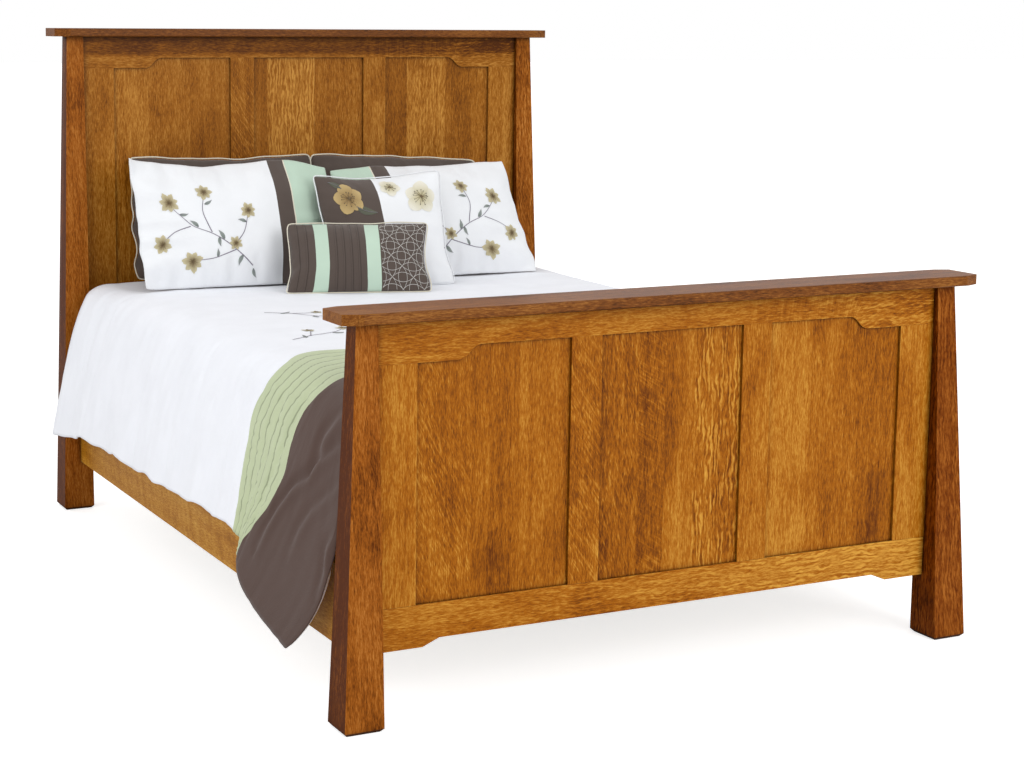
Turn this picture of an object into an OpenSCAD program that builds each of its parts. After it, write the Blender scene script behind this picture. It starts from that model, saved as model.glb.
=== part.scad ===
// Queen size panel bed in quartersawn oak, made up with mattress, comforter and pillows.
// Millimetres. X runs across the bed, +Y runs from the foot to the head, +Z is up.
// The origin is on the floor, under the middle of the bed.
// Each end is a frame of rails, stiles and mullions round three flat panels, held between two
// tapered posts under a cap board. Hook hardware joins the side rails to the posts.

/* [Overall] */
// Clear width between the two posts of one end
clear_w = 1520; // [1340:10:1900]
// Length from the footboard frame's face to the headboard frame's face
face_l = 2160; // [2040:10:2300]
// Height of the footboard posts, under the cap
foot_h = 895; // [820:5:1000]
// Height of the headboard posts, under the cap
head_h = 1475; // [1320:5:1640]

/* [Posts] */
// Width of a post at its top
post_top_w = 52; // [48:1:70]
// Width of a post at the floor
post_foot_w = 95; // [80:1:120]
// Depth of a post at its top
post_top_d = 48; // [44:1:60]
// Depth of a post at the floor
post_foot_d = 93; // [75:1:110]
// Bevel round the foot of a post
post_bevel = 8; // [2:1:12]

/* [End frames] */
// Thickness of the rails, stiles and mullions
frame_t = 25; // [22:0.5:30]
// How far the frame's face lies behind the top of the post's face
frame_set = 12; // [4:1:16]
// Width of a stile
stile_w = 100; // [70:5:130]
// Width of a mullion
mullion_w = 80; // [50:5:100]
// Height of a top rail at its ends
top_rail_h = 98; // [85:1:130]
// Rise of the top rail's lower edge from its ends to its middle
arch_rise = 32; // [15:1:45]
// Length of the double curve in the top rail's lower edge
arch_run = 62; // [50:1:90]
// Distance from a post to the start of that curve
arch_in = 198; // [170:2:220]
// Height of the footboard's bottom rail
foot_rail_h = 98; // [80:1:130]
// Height of the footboard's bottom rail above the floor
foot_rail_z = 158; // [120:2:220]
// Height of the headboard's bottom rail
head_rail_h = 120; // [90:1:160]
// Height of the headboard's bottom rail above the floor
head_rail_z = 380; // [340:5:460]
// Rise of the relief under the footboard's bottom rail
relief_rise = 17; // [8:1:30]
// Length of the slope at each end of that relief
relief_run = 42; // [20:1:80]
// Distance from a post to that slope
relief_in = 118; // [60:1:200]

/* [Panels and joints] */
// Thickness of a flat panel
panel_t = 12; // [8:0.5:14]
// Depth of the grooves that hold the panels and stub tenons
groove_d = 10; // [7:0.5:14]
// Room left in a groove beyond a panel's edge
groove_end = 1; // [0.5:0.1:2]
// Clearance on each face of a panel or tenon
joint_gap = 0.2; // [0.1:0.05:0.4]
// Length of a rail's tenon in a post
tenon_l = 20; // [12:1:22]
// Thickness of a rail's tenon
tenon_t = 12; // [8:0.5:16]
// Shoulder above and below a rail's tenon
tenon_shoulder = 16; // [8:1:24]

/* [Caps] */
// Thickness of a cap board
cap_t = 25; // [18:1:32]
// Overhang of a cap beyond the post tops, on all sides
cap_over = 45; // [25:1:60]
// Length of the clipped corner along the cap
clip_l = 45; // [20:1:70]
// Depth of the clipped corner across the cap
clip_d = 18; // [8:1:28]
// Rounding of a cap's long edges
cap_ease = 4; // [1:0.5:8]

/* [Side rails and slats] */
// Height of a side rail
rail_h = 190; // [160:5:230]
// Height of a side rail above the floor
rail_z = 150; // [110:5:200]
// Thickness of a side rail
rail_t = 25; // [22:0.5:32]
// Rounding of a side rail's long edges
rail_ease = 3; // [1:0.5:5]
// Distance from a post's inner side to the side rail's inner face
rail_set = 15; // [5:1:22]
// Gap between a side rail's end and the post
rail_gap = 0.2; // [0.1:0.1:0.5]
// Height of the ledger under the slats
ledger_h = 40; // [30:1:50]
// Thickness of the ledger
ledger_t = 22; // [18:1:30]
// Height of the ledger above the side rail's low edge
ledger_z = 28; // [15:1:40]
// Distance from a side rail's end to the ledger's end
ledger_in = 40; // [20:5:80]
// Thickness of a slat
slat_t = 20; // [16:1:25]
// Width of a slat
slat_w = 90; // [65:5:120]
// Gap between a slat's end and the side rail
slat_gap = 2; // [1:0.5:5]
// Side of a square support leg
leg_w = 45; // [35:1:60]
// Radius of a leveling pad
pad_r = 15; // [10:1:20]
// Thickness of a leveling pad
pad_t = 6; // [4:1:8]
// Height of the leg above the pad
pad_gap = 5; // [2:1:10]
// Radius of a leveling pad's stem
stem_r = 4; // [3:0.5:6]
// Length of that stem inside the leg
stem_l = 30; // [20:1:40]

/* [Rail hooks] */
// Thickness of the hook and receiver plates
plate_t = 3; // [2:0.5:4]
// Width of the plates
plate_w = 16; // [12:1:20]
// Height of the plates
plate_h = 130; // [110:5:150]
// Distance between a plate's two hooks
hook_pitch = 50; // [44:1:60]
// Thickness of a hook
hook_t = 3; // [2:0.5:4]
// Height of a hook's neck
neck_h = 16; // [10:1:18]
// Drop of a hook's lip behind the receiver
lip_drop = 8; // [5:1:10]
// Reach of a hook beyond the rail's end
hook_reach = 12; // [9:1:16]
// Distance from a plate's end to its screw
screw_in = 12; // [9:1:15]
// Radius of a screw's shank
screw_r = 2; // [1.5:0.1:2.5]
// Radius of a screw's head
screw_head_r = 4; // [3:0.1:5]
// Length of the screws that hold the plates
plate_screw_l = 32; // [20:1:40]
// Length of the screws that hold the ledgers and slats
ledger_screw_l = 38; // [32:1:42]

/* [Mattress and box spring] */
// Height of the box spring
box_h = 203; // [130:1:230]
// Height of the mattress
mattress_h = 254; // [200:1:330]
// Gap between the mattress and a side rail, in plan
mattress_gap = 13; // [8:1:25]
// Gap between the footboard posts and the mattress
foot_room = 26; // [24:1:50]
// Gap between the headboard posts' feet and the mattress
head_room = 9; // [3:1:30]
// Rounding of the mattress's corners in plan
mattress_r = 60; // [42:1:90]
// Rounding of the mattress's upper edges
mattress_edge = 40; // [20:1:60]
// Height of the tape edge round the mattress and box spring
tape_h = 12; // [8:1:16]
// How far that tape edge stands proud
tape_out = 2; // [1:0.5:4]

/* [Comforter] */
// Thickness of the comforter
quilt_t = 20; // [12:1:24]
// Gap between soft pieces and what they lie on
soft_gap = 0.4; // [0.3:0.1:1]
// Height of the hem above the side rail's low edge
hem_up = 168; // [110:2:180]
// Height of the hem's head end above the floor
hem_head_z = 255; // [200:5:290]
// Height of the hanging foot corner above the floor
tip_z = 115; // [60:5:140]
// Length of the foot corner that swings down
corner_l = 460; // [360:10:560]
// How far the hem stands out beyond the comforter's shoulder
hem_out = 106; // [70:2:130]
// Depth of the comforter's tuck between mattress and footboard
tuck = 70; // [40:5:120]
// Distance from the headboard frame's face to the comforter's head end
quilt_head = 84; // [78:1:200]
// Length of one fold in the hanging side
fold_pitch = 300; // [200:10:400]
// Depth of those folds
fold_depth = 7; // [2:1:12]

/* [Pillows] */
// Width of a front sham
sham_w = 650; // [560:5:680]
// Height of a front sham
sham_h = 402; // [340:2:440]
// Width of a back sham
back_sham_w = 605; // [520:5:680]
// Height of a back sham
back_sham_h = 385; // [330:5:430]
// Thickness of a sham
sham_t = 148; // [90:2:156]
// Width of the square cushion
cushion_w = 425; // [330:5:450]
// Height of the square cushion
cushion_h = 390; // [310:5:420]
// Thickness of the square cushion
cushion_t = 118; // [80:2:126]
// Width of the lumbar pillow
lumbar_w = 434; // [360:2:480]
// Height of the lumbar pillow
lumbar_h = 225; // [180:5:260]
// Thickness of the lumbar pillow
lumbar_t = 100; // [70:2:110]
// How far a pillow's sides draw in between its corners
draw_in = 0.05; // [0.02:0.01:0.08]

/* [Hidden] */
$fn = 48;
L = -1; // left side
R = 1; // right side
eps = 0.01; // overshoot of a cut

// Post and frame planes, measured from the frame's face of one end
half_w = clear_w / 2;
post_front = -frame_set; // face of a post at its top
post_back = post_top_d - frame_set; // plumb back of a post
flare = post_foot_d - post_top_d;
end_front = frame_set + max(cap_over, flare);
end_back = post_back + cap_over;
foot_y = (end_front - end_back - face_l) / 2; // footboard frame's face
head_y = foot_y + face_l; // headboard frame's face

// Frame openings
panel_w = (clear_w - 2 * stile_w - 2 * mullion_w) / 3;
slot_t = panel_t + 2 * joint_gap;
mid_t = frame_t / 2; // middle of the frame's thickness
tongue = groove_d - groove_end;
foot_rail_top = foot_rail_z + foot_rail_h;
head_rail_top = head_rail_z + head_rail_h;

// Side rails
rail_x = half_w + rail_set; // inner face
rail_foot_y = foot_y + post_back; // the footboard posts' backs
rail_mid_z = rail_z + rail_h / 2;
head_slope = atan(flare / head_h); // lean of the headboard posts' faces
function head_face_y(z) = head_y + post_front - flare * (1 - z / head_h);

// Slats
ledger_top = rail_z + ledger_z + ledger_h;
slat_top = ledger_top + slat_t;
slat_n = 5;
slat_first = 160; // end slat's middle from the mattress's end
leg_z = pad_t + pad_gap; // lower end of a support leg

// Bedding
mattress_x = rail_x - mattress_gap; // half the mattress's width
mattress_y0 = rail_foot_y + foot_room;
mattress_y1 = head_y + post_front - flare - head_room;
mattress_z = slat_top + soft_gap + box_h + soft_gap;
mattress_top = mattress_z + mattress_h;

function slat_y(i) = mattress_y0 + slat_first
  + (i - 1) * (mattress_y1 - mattress_y0 - 2 * slat_first) / (slat_n - 1);

// Lower edge of a top rail, from left to right: flat, up a double curve, flat, and down again.
// Both halves of the double curve are arcs that meet in its middle.
curve_steps = 6;
curve_a = 2 * atan(arch_rise / arch_run);
curve_r = arch_run / (2 * sin(curve_a));
function rise_at(s) = s < 0.5
  ? curve_r * (1 - cos(asin(s * arch_run / curve_r)))
  : arch_rise - curve_r * (1 - cos(asin((1 - s) * arch_run / curve_r)));
function arch_half() = [for (k = [0 : 2 * curve_steps]) let (s = k / (2 * curve_steps))
  [-half_w + arch_in + s * arch_run, rise_at(s)]];
function arch_line(z) = concat([[-half_w, z]], [for (p = arch_half()) [p[0], z + p[1]]],
  [for (k = [2 * curve_steps : -1 : 0]) [-arch_half()[k][0], z + arch_half()[k][1]]],
  [[half_w, z]]);

module at_foot() translate([0, foot_y, 0]) children();
module at_head() translate([0, head_y, 0]) children();

// Plate of thickness t whose profile is drawn in X and Z, with its middle at depth y
module upright(t, y) translate([0, y + t / 2, 0]) rotate([90, 0, 0]) linear_extrude(t) children();

// Prism along X whose profile is drawn in Y and Z
module along_x(x0, x1) translate([x0, 0, 0]) rotate([90, 0, 90]) linear_extrude(x1 - x0) children();

// Prism along Y whose profile is drawn in X and Z
module along_y(y0, y1) translate([0, y1, 0]) rotate([90, 0, 0]) linear_extrude(y1 - y0) children();

module soft_rect(w, h, r) {
  translate([r, 0]) square([w - 2 * r, h]);
  translate([0, r]) square([w, h - 2 * r]);
  for (x = [r, w - r], y = [r, h - r]) translate([x, y]) circle(r);
}

// Posts: two tapers crossed, plumb on the inner side and the back
module post_body(h) intersection() {
  along_y(-post_foot_d, post_foot_d) polygon([
    [0, post_bevel], [post_bevel, 0], [post_foot_w - post_bevel, 0],
    [post_foot_w - (post_foot_w - post_top_w) * post_bevel / h, post_bevel], [post_top_w, h], [0, h]]);
  along_x(-eps, post_foot_w + eps) polygon([
    [post_back, post_bevel], [post_back - post_bevel, 0], [post_front - flare + post_bevel, 0],
    [post_front - flare * (1 - post_bevel / h), post_bevel], [post_front, h], [post_back, h]]);
}

module mortise(z0, z1) translate([-eps, mid_t - tenon_t / 2 - joint_gap, z0 - joint_gap])
  cube([tenon_l + groove_end, tenon_t + 2 * joint_gap, z1 - z0 + 2 * joint_gap]);

module post(side, h, rail_low, rail_high) mirror([side == L ? 1 : 0, 0, 0])
  translate([half_w, 0, 0]) difference() {
    post_body(h);
    mortise(rail_low + tenon_shoulder, rail_high - tenon_shoulder);
    mortise(h - top_rail_h + tenon_shoulder, h - tenon_shoulder);
  }

// Opening between the two rails of an end, grown by d into their edges
module opening_2d(h, rail_high, d) polygon(concat(
  arch_line(h - top_rail_h + d), [[half_w, rail_high - d], [-half_w, rail_high - d]]));

module strip_2d(h, rail_high, d, x0, x1) intersection() {
  opening_2d(h, rail_high, d);
  translate([x0, 0]) square([x1 - x0, h]);
}

module rail_tenons(z0, z1) for (s = [L, R])
  translate([s * (half_w + tenon_l / 2), mid_t, (z0 + z1) / 2])
    cube([tenon_l, tenon_t, z1 - z0], center = true);

module top_rail(h, rail_high) {
  difference() {
    upright(frame_t, mid_t) polygon(concat(arch_line(h - top_rail_h), [[half_w, h], [-half_w, h]]));
    upright(slot_t, mid_t) opening_2d(h, rail_high, groove_d);
  }
  rail_tenons(h - top_rail_h + tenon_shoulder, h - tenon_shoulder);
}

// The relief is a shallow step with sloped ends, or none where rise is 0
module bottom_rail(h, z0, z1, rise) {
  x1 = half_w - relief_in;
  x2 = x1 - relief_run;
  difference() {
    upright(frame_t, mid_t) polygon([[-half_w, z0], [-x1, z0], [-x2, z0 + rise], [x2, z0 + rise],
      [x1, z0], [half_w, z0], [half_w, z1], [-half_w, z1]]);
    upright(slot_t, mid_t) opening_2d(h, z1, groove_d);
  }
  rail_tenons(z0 + tenon_shoulder, z1 - tenon_shoulder);
}

// Stile or mullion from x0 to x1, with a stub tenon at each end and grooved edges
module upright_member(h, rail_high, x0, x1) difference() {
  union() {
    upright(frame_t, mid_t) strip_2d(h, rail_high, 0, x0, x1);
    upright(panel_t, mid_t) strip_2d(h, rail_high, tongue, x0, x1);
  }
  for (k = [-1 : 1]) upright(slot_t, mid_t)
    strip_2d(h, rail_high, groove_d, panel_x(k) - groove_d, panel_x(k) + panel_w + groove_d);
}
function panel_x(k) = k * (panel_w + mullion_w) - panel_w / 2;

module stile(side, h, rail_high) mirror([side == L ? 1 : 0, 0, 0])
  upright_member(h, rail_high, half_w - stile_w, half_w);
module mullion(side, h, rail_high) mirror([side == L ? 1 : 0, 0, 0])
  upright_member(h, rail_high, panel_w / 2, panel_w / 2 + mullion_w);
module panel(k, h, rail_high) upright(panel_t, mid_t)
  strip_2d(h, rail_high, tongue, panel_x(k) - tongue, panel_x(k) + panel_w + tongue);

// Cap: a board with four clipped corners and rounded long edges
module cap(h) {
  x1 = half_w + post_top_w + cap_over;
  y0 = post_front - cap_over;
  y1 = post_back + cap_over;
  intersection() {
    translate([0, 0, h]) linear_extrude(cap_t) polygon([
      [-x1, y0 + clip_d], [-x1 + clip_l, y0], [x1 - clip_l, y0], [x1, y0 + clip_d],
      [x1, y1 - clip_d], [x1 - clip_l, y1], [-x1 + clip_l, y1], [-x1, y1 - clip_d]]);
    along_x(-x1, x1) translate([y0, h]) soft_rect(y1 - y0, cap_t, cap_ease);
  }
}

// Bed rail hardware. It is drawn with +Y pointing from the rail's end into the post and Z = 0 at
// the middle of the rail, and then set at each of the four rail ends.
module at_rail_end(side, head) translate([side * (rail_x + rail_t / 2), 0, rail_mid_z])
  if (head) translate([0, head_face_y(rail_mid_z), 0]) rotate([-head_slope, 0, 0]) children();
  else translate([0, rail_foot_y, 0]) mirror([0, 1, 0]) children();

module screw(l, grow) rotate_extrude() polygon([[0, -l - grow], [screw_r + grow, -l - grow],
  [screw_r + grow, -(screw_head_r - screw_r)], [screw_head_r + grow, grow], [0, grow]]);

module plate_screw_places() for (z = [-1, 1]) translate([0, 0, z * (plate_h / 2 - screw_in)]) children();
module hook_screws(grow) plate_screw_places() translate([0, -rail_gap, 0])
  rotate([-90, 0, 0]) screw(plate_screw_l, grow);
module receiver_screws(grow) plate_screw_places() rotate([90, 0, 0]) screw(plate_screw_l, grow);

module hook_places() for (z = [-1, 1]) translate([0, 0, z * hook_pitch / 2]) children();
module hook_plate() difference() {
  union() {
    translate([-plate_w / 2, -rail_gap - plate_t, -plate_h / 2]) cube([plate_w, plate_t, plate_h]);
    hook_places() along_x(-hook_t / 2, hook_t / 2) polygon([
      [-rail_gap - eps, neck_h / 2], [hook_reach, neck_h / 2], [hook_reach, -neck_h / 2 - lip_drop],
      [plate_t + joint_gap, -neck_h / 2 - lip_drop], [plate_t + joint_gap, -neck_h / 2],
      [-rail_gap - eps, -neck_h / 2]]);
  }
  hook_screws(joint_gap);
}

slot_low = -neck_h / 2 - joint_gap;
slot_high = neck_h / 2 + lip_drop + joint_gap;
module receiver_plate() difference() {
  translate([-plate_w / 2, 0, -plate_h / 2]) cube([plate_w, plate_t, plate_h]);
  hook_places() translate([-hook_t / 2 - joint_gap, -eps, slot_low])
    cube([hook_t + 2 * joint_gap, plate_t + 2 * eps, slot_high - slot_low]);
  receiver_screws(joint_gap);
}

// Cut in a post for one receiver plate, the hooks behind it and its screws
module receiver_cut() {
  translate([-plate_w / 2 - joint_gap, -plate_t, -plate_h / 2 - joint_gap])
    cube([plate_w + 2 * joint_gap, 2 * plate_t, plate_h + 2 * joint_gap]);
  hook_places() translate([-hook_t, 0, -neck_h / 2 - lip_drop - hook_t / 2])
    cube([2 * hook_t, hook_reach + hook_t / 2, neck_h + 2 * lip_drop + hook_t]);
  receiver_screws(joint_gap);
}

module foot_post(side) difference() {
  at_foot() post(side, foot_h, foot_rail_z, foot_rail_top);
  at_rail_end(side, false) receiver_cut();
}

module head_post(side) difference() {
  at_head() post(side, head_h, head_rail_z, head_rail_top);
  at_rail_end(side, true) receiver_cut();
}

// Cut in a rail's end for one hook plate and its screws
module hook_plate_cut() {
  translate([-plate_w / 2 - joint_gap, -rail_gap - plate_t, -plate_h / 2 - joint_gap])
    cube([plate_w + 2 * joint_gap, 2 * plate_t, plate_h + 2 * joint_gap]);
  hook_screws(joint_gap);
}

// Side rail: its head end is cut to the lean of the headboard post
module side_rail(side) difference() {
  intersection() {
    along_x(side == L ? -rail_x - rail_t : rail_x, side == L ? -rail_x : rail_x + rail_t) polygon([
      [rail_foot_y + rail_gap, rail_z], [head_face_y(rail_z) - rail_gap, rail_z],
      [head_face_y(rail_z + rail_h) - rail_gap, rail_z + rail_h],
      [rail_foot_y + rail_gap, rail_z + rail_h]]);
    along_y(foot_y, head_y) translate([side == L ? -rail_x - rail_t : rail_x, rail_z])
      soft_rect(rail_t, rail_h, rail_ease);
  }
  at_rail_end(side, true) hook_plate_cut();
  at_rail_end(side, false) hook_plate_cut();
  ledger_screw_places(side) screw(ledger_screw_l, joint_gap);
}

ledger_y0 = rail_foot_y + ledger_in;
ledger_y1 = head_face_y(rail_z) - ledger_in;
ledger_screw_n = 6;
module ledger_screw_places(side) for (k = [0 : ledger_screw_n - 1])
  translate([side * (rail_x - ledger_t), ledger_y0 + ledger_in
    + k * (ledger_y1 - ledger_y0 - 2 * ledger_in) / (ledger_screw_n - 1), ledger_top - ledger_h / 2])
    rotate([0, -side * 90, 0]) children();

module slat_screw_places(side) for (i = [1 : slat_n])
  translate([side * (rail_x - ledger_t / 2), slat_y(i), slat_top]) children();

module slat_ledger(side) difference() {
  translate([side == L ? -rail_x : rail_x - ledger_t, ledger_y0, ledger_top - ledger_h])
    cube([ledger_t, ledger_y1 - ledger_y0, ledger_h]);
  ledger_screw_places(side) screw(ledger_screw_l, joint_gap);
  slat_screw_places(side) screw(ledger_screw_l, joint_gap);
}

module leg_screw_places() for (i = [2 : slat_n - 1]) translate([0, slat_y(i), slat_top]) children();
module slat(i) difference() {
  translate([-rail_x + slat_gap, slat_y(i) - slat_w / 2, ledger_top])
    cube([2 * (rail_x - slat_gap), slat_w, slat_t]);
  for (s = [L, R]) slat_screw_places(s) screw(ledger_screw_l, joint_gap);
  leg_screw_places() screw(ledger_screw_l, joint_gap);
}

module support_leg(i) difference() {
  translate([-leg_w / 2, slat_y(i) - leg_w / 2, leg_z]) cube([leg_w, leg_w, ledger_top - leg_z]);
  leg_screw_places() screw(ledger_screw_l, joint_gap);
  translate([0, slat_y(i), leg_z - eps]) cylinder(r = stem_r + joint_gap, h = stem_l + groove_end);
}

module leg_leveler(i) translate([0, slat_y(i), 0]) {
  cylinder(r = pad_r, h = pad_t);
  translate([0, 0, pad_t - eps]) cylinder(r = stem_r, h = pad_gap + stem_l);
}

// Mattress: rounded in plan and over its upper edges, with a tape edge above and below
module slab(z, h, out, r) translate([-mattress_x - out, mattress_y0 - out, z])
  linear_extrude(h) soft_rect(2 * (mattress_x + out), mattress_y1 - mattress_y0 + 2 * out, r + out);

module top_rounded(z, h, r) intersection() {
  slab(z, h, 0, mattress_r);
  along_y(mattress_y0, mattress_y1) translate([-mattress_x, z - r])
    soft_rect(2 * mattress_x, h + r, r);
  along_x(-mattress_x, mattress_x) translate([mattress_y0, z - r])
    soft_rect(mattress_y1 - mattress_y0, h + r, r);
}

module box_spring_body() {
  slab(slat_top + soft_gap, box_h, -tape_out, mattress_r);
  slab(slat_top + soft_gap, tape_h, 0, mattress_r);
  slab(slat_top + soft_gap + box_h - tape_h, tape_h, 0, mattress_r);
}

module mattress_body() {
  top_rounded(mattress_z, mattress_h, mattress_edge);
  slab(mattress_z, tape_h, tape_out, mattress_r);
}

// Comforter. Rows run across the bed, from the head end to the tuck at the foot, and each row
// runs down the left side, over the top and down the right side. The outer skin rounds the
// mattress's edges at quilt_r, and the lining lies quilt_t inside it.
turn_step = 30; // degrees from one column or row to the next round an edge
quilt_in_r = (mattress_edge + soft_gap) / cos(turn_step / 2);
quilt_r = quilt_in_r + quilt_t;
quilt_cx = mattress_x - mattress_edge; // where the top starts to turn down
quilt_cy = mattress_y0 + mattress_edge; // where it turns down at the foot
quilt_cz = mattress_top - mattress_edge;
rest_z = quilt_cz + quilt_r + soft_gap; // where the pillows stand
hem_z = rail_z + hem_up;
quilt_y1 = head_y - quilt_head;
plain_y = quilt_cy + corner_l; // the foot corner hangs from here on
plain_n = 19;
// Rows of the foot corner. The first two values are shares of corner_l: the distance of the top
// from the turn at the foot, and the hem's from the mattress's foot end. Then come the hem's share
// of the drop to the tip, the power that brings a row there, and its share of hem_out.
corner_rows = [
  [0.85, 0.97, 0.08, 1.5, 0.88], [0.70, 0.98, 0.20, 1.4, 0.96], [0.54, 0.96, 0.36, 1.5, 1],
  [0.39, 0.88, 0.55, 1.7, 1], [0.26, 0.76, 0.70, 1.9, 0.98], [0.13, 0.63, 0.82, 2.2, 0.95],
  [0, 0.52, 0.90, 2.5, 0.92]];
// Rows round the foot edge and down the tuck: turn angle, share of the tuck, and the last four again
tuck_rows = [
  [turn_step, 0, 0.46, 0.94, 2.7, 0.90], [2 * turn_step, 0, 0.42, 0.97, 2.9, 0.88],
  [90, 0, 0.41, 0.985, 3.1, 0.87], [90, 0.5, 0.39, 0.995, 3.3, 0.86], [90, 1, 0.38, 1, 3.5, 0.85]];
rows_n = plain_n + 1 + len(corner_rows) + len(tuck_rows);

// One row: y of its top, turn angle at the foot, fall below the turn, the hem's y and z, the power,
// the share of hem_out, and the share of the side's soft folds
head_dip = 430; // the hem sinks over this length to its head end
function hem_at(share) = hem_z + share * (tip_z - hem_z);
function plain_row(k) = let (y = quilt_y1 + (plain_y - quilt_y1) * k / plain_n)
  [y, 0, 0, y, hem_z + (hem_head_z - hem_z) * pow(max(0, 1 - (quilt_y1 - y) / head_dip), 1.5),
   1.5, 1 - 0.14 * k / plain_n, 1];
function corner_row(c) = [quilt_cy + c[0] * corner_l, 0, 0, mattress_y0 + c[1] * corner_l,
  hem_at(c[2]), c[3], c[4], 0];
function tuck_row(c) = [quilt_cy, c[0], c[1] * tuck, mattress_y0 + c[2] * corner_l,
  hem_at(c[3]), c[4], c[5], 0];
rows = concat([for (k = [0 : plain_n]) plain_row(k)], [for (c = corner_rows) corner_row(c)],
  [for (c = tuck_rows) tuck_row(c)]);

// Columns from the middle of the top to one hem: share of the flat top, turn angle, share of the drop
side_steps = 4;
columns = concat([[0, 0, 0], [0.62, 0, 0]], [for (a = [0 : turn_step : 90]) [1, a, 0]],
  [for (k = [1 : side_steps]) [1, 90, k / side_steps]]);
cols_h = len(columns) - 1;
cols_n = 2 * cols_h + 1;

function fold(y, s) = fold_depth * pow(s, 1.5) * sin(360 * y / fold_pitch);
// A point of the skin that lies r from the mattress's rounded edges, side +1 or -1
function skin(row, col, side, r) = let (
    s = col[2],
    edge_y = row[0] - r * sin(row[1]),
    edge_z = quilt_cz + r * min(cos(row[1]), cos(col[1])) - row[2],
    wave = row[7] * fold(row[0], s))
  [side * (quilt_cx * col[0] + r * sin(col[1]) + hem_out * row[6] * pow(s, 0.75) + wave),
   edge_y + (row[3] - edge_y) * pow(s, row[5]),
   edge_z + (row[4] - edge_z) * s + wave * s * 0.8];
function skin_point(i, j, r) = let (k = j - cols_h)
  skin(rows[i], columns[abs(k)], k < 0 ? -1 : 1, r);
function outer_id(i, j) = i * cols_n + j;
function inner_id(i, j) = rows_n * cols_n + outer_id(i, j);
function quad(a, b, c, d, turned = false) = turned ? [[b, c, d], [b, d, a]] : [[a, b, c], [a, c, d]];

module comforter_body() polyhedron(
  points = [for (r = [quilt_r, quilt_r - quilt_t], i = [0 : rows_n - 1], j = [0 : cols_n - 1])
    skin_point(i, j, r)],
  faces = [
    for (i = [0 : rows_n - 2], j = [0 : cols_n - 2]) each concat(
      quad(outer_id(i, j), outer_id(i, j + 1), outer_id(i + 1, j + 1), outer_id(i + 1, j), j < cols_h),
      quad(inner_id(i, j), inner_id(i + 1, j), inner_id(i + 1, j + 1), inner_id(i, j + 1), j < cols_h)),
    for (j = [0 : cols_n - 2]) each concat(
      quad(outer_id(0, j), inner_id(0, j), inner_id(0, j + 1), outer_id(0, j + 1)),
      quad(outer_id(rows_n - 1, j), outer_id(rows_n - 1, j + 1), inner_id(rows_n - 1, j + 1),
        inner_id(rows_n - 1, j))),
    for (i = [0 : rows_n - 2]) each concat(
      quad(outer_id(i, 0), outer_id(i + 1, 0), inner_id(i + 1, 0), inner_id(i, 0)),
      quad(outer_id(i, cols_n - 1), inner_id(i, cols_n - 1), inner_id(i + 1, cols_n - 1),
        outer_id(i + 1, cols_n - 1)))]);

// Pillow standing on its lower seam: crowned on both sides, with sides that draw in between
// its corners. Width runs along X, height along Z, and it is thickest in the middle.
pil_n = 12; // steps across
pil_m = 10; // steps up
function pil_s(k, n) = sin(90 * (2 * k / n - 1)); // steps that crowd towards the seams
function pil_point(i, j, w, h, t, side) = let (u = pil_s(i, pil_n), v = pil_s(j, pil_m))
  [w / 2 * u * (1 - draw_in * (1 - v * v)),
   side * t / 2 * pow(max(0, (1 - u * u) * (1 - v * v)), 0.42),
   h / 2 + h / 2 * v * (1 - draw_in * (1 - u * u))];
function pil_front(i, j) = j * (pil_n + 1) + i;
function pil_back(i, j) = i == 0 || j == 0 || i == pil_n || j == pil_m
  ? pil_front(i, j) : (pil_n + 1) * (pil_m + 1) + (j - 1) * (pil_n - 1) + i - 1;

// Height of the lowest point of a pillow that leans back
function pil_low(w, h, t, lean) = min([for (j = [0 : pil_m], i = [0 : pil_n], side = [-1, 1])
  let (p = pil_point(i, j, w, h, t, side)) p[2] * cos(lean) - p[1] * sin(lean)]);

// The pillow leans back by lean degrees and is turned by turn degrees. It stands on the
// comforter, its lower seam x from the middle and y ahead of the headboard frame's face.
module pillow(w, h, t, x, y, lean, turn)
  translate([x, head_y - y, rest_z - pil_low(w, h, t, lean)]) rotate([0, 0, turn])
    rotate([-lean, 0, 0]) polyhedron(
      points = concat(
        [for (j = [0 : pil_m], i = [0 : pil_n]) pil_point(i, j, w, h, t, -1)],
        [for (j = [1 : pil_m - 1], i = [1 : pil_n - 1]) pil_point(i, j, w, h, t, 1)]),
      // a cell's diagonal points at the middle, so no two triangles meet flat in a corner
      faces = [for (j = [0 : pil_m - 1], i = [0 : pil_n - 1])
        let (turned = (i < pil_n / 2) != (j < pil_m / 2)) each concat(
          quad(pil_front(i, j), pil_front(i, j + 1), pil_front(i + 1, j + 1), pil_front(i + 1, j), turned),
          quad(pil_back(i, j), pil_back(i + 1, j), pil_back(i + 1, j + 1), pil_back(i, j + 1), turned))]);

// Each pillow stands in front of the one behind it, so its place follows from the thicknesses
// and from the room between them at the lower seams, which is less than 0 where they lap
back_gap = 3; // between the two back shams
back_x = -28; // their common middle, left of the bed's
back_room = 20; // from the headboard's frame to a back sham
front_room = 92; // from a back sham to a front sham, and so on
cushion_room = 28;
lumbar_room = -10;
back_y = sham_t / 2 + back_room;
back_lean = 5;
front_gap = 16;
front_x = -20;
front_y = back_y + sham_t + front_room;
front_lean = 23;
front_turn_left = -4;
front_turn_right = 1;
cushion_x = 62;
cushion_y = front_y + (sham_t + cushion_t) / 2 + cushion_room;
cushion_lean = 30;
cushion_turn = -6;
lumbar_x = -78;
lumbar_y = cushion_y + (cushion_t + lumbar_t) / 2 + lumbar_room;
lumbar_lean = 30;
lumbar_turn = -17;

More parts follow.
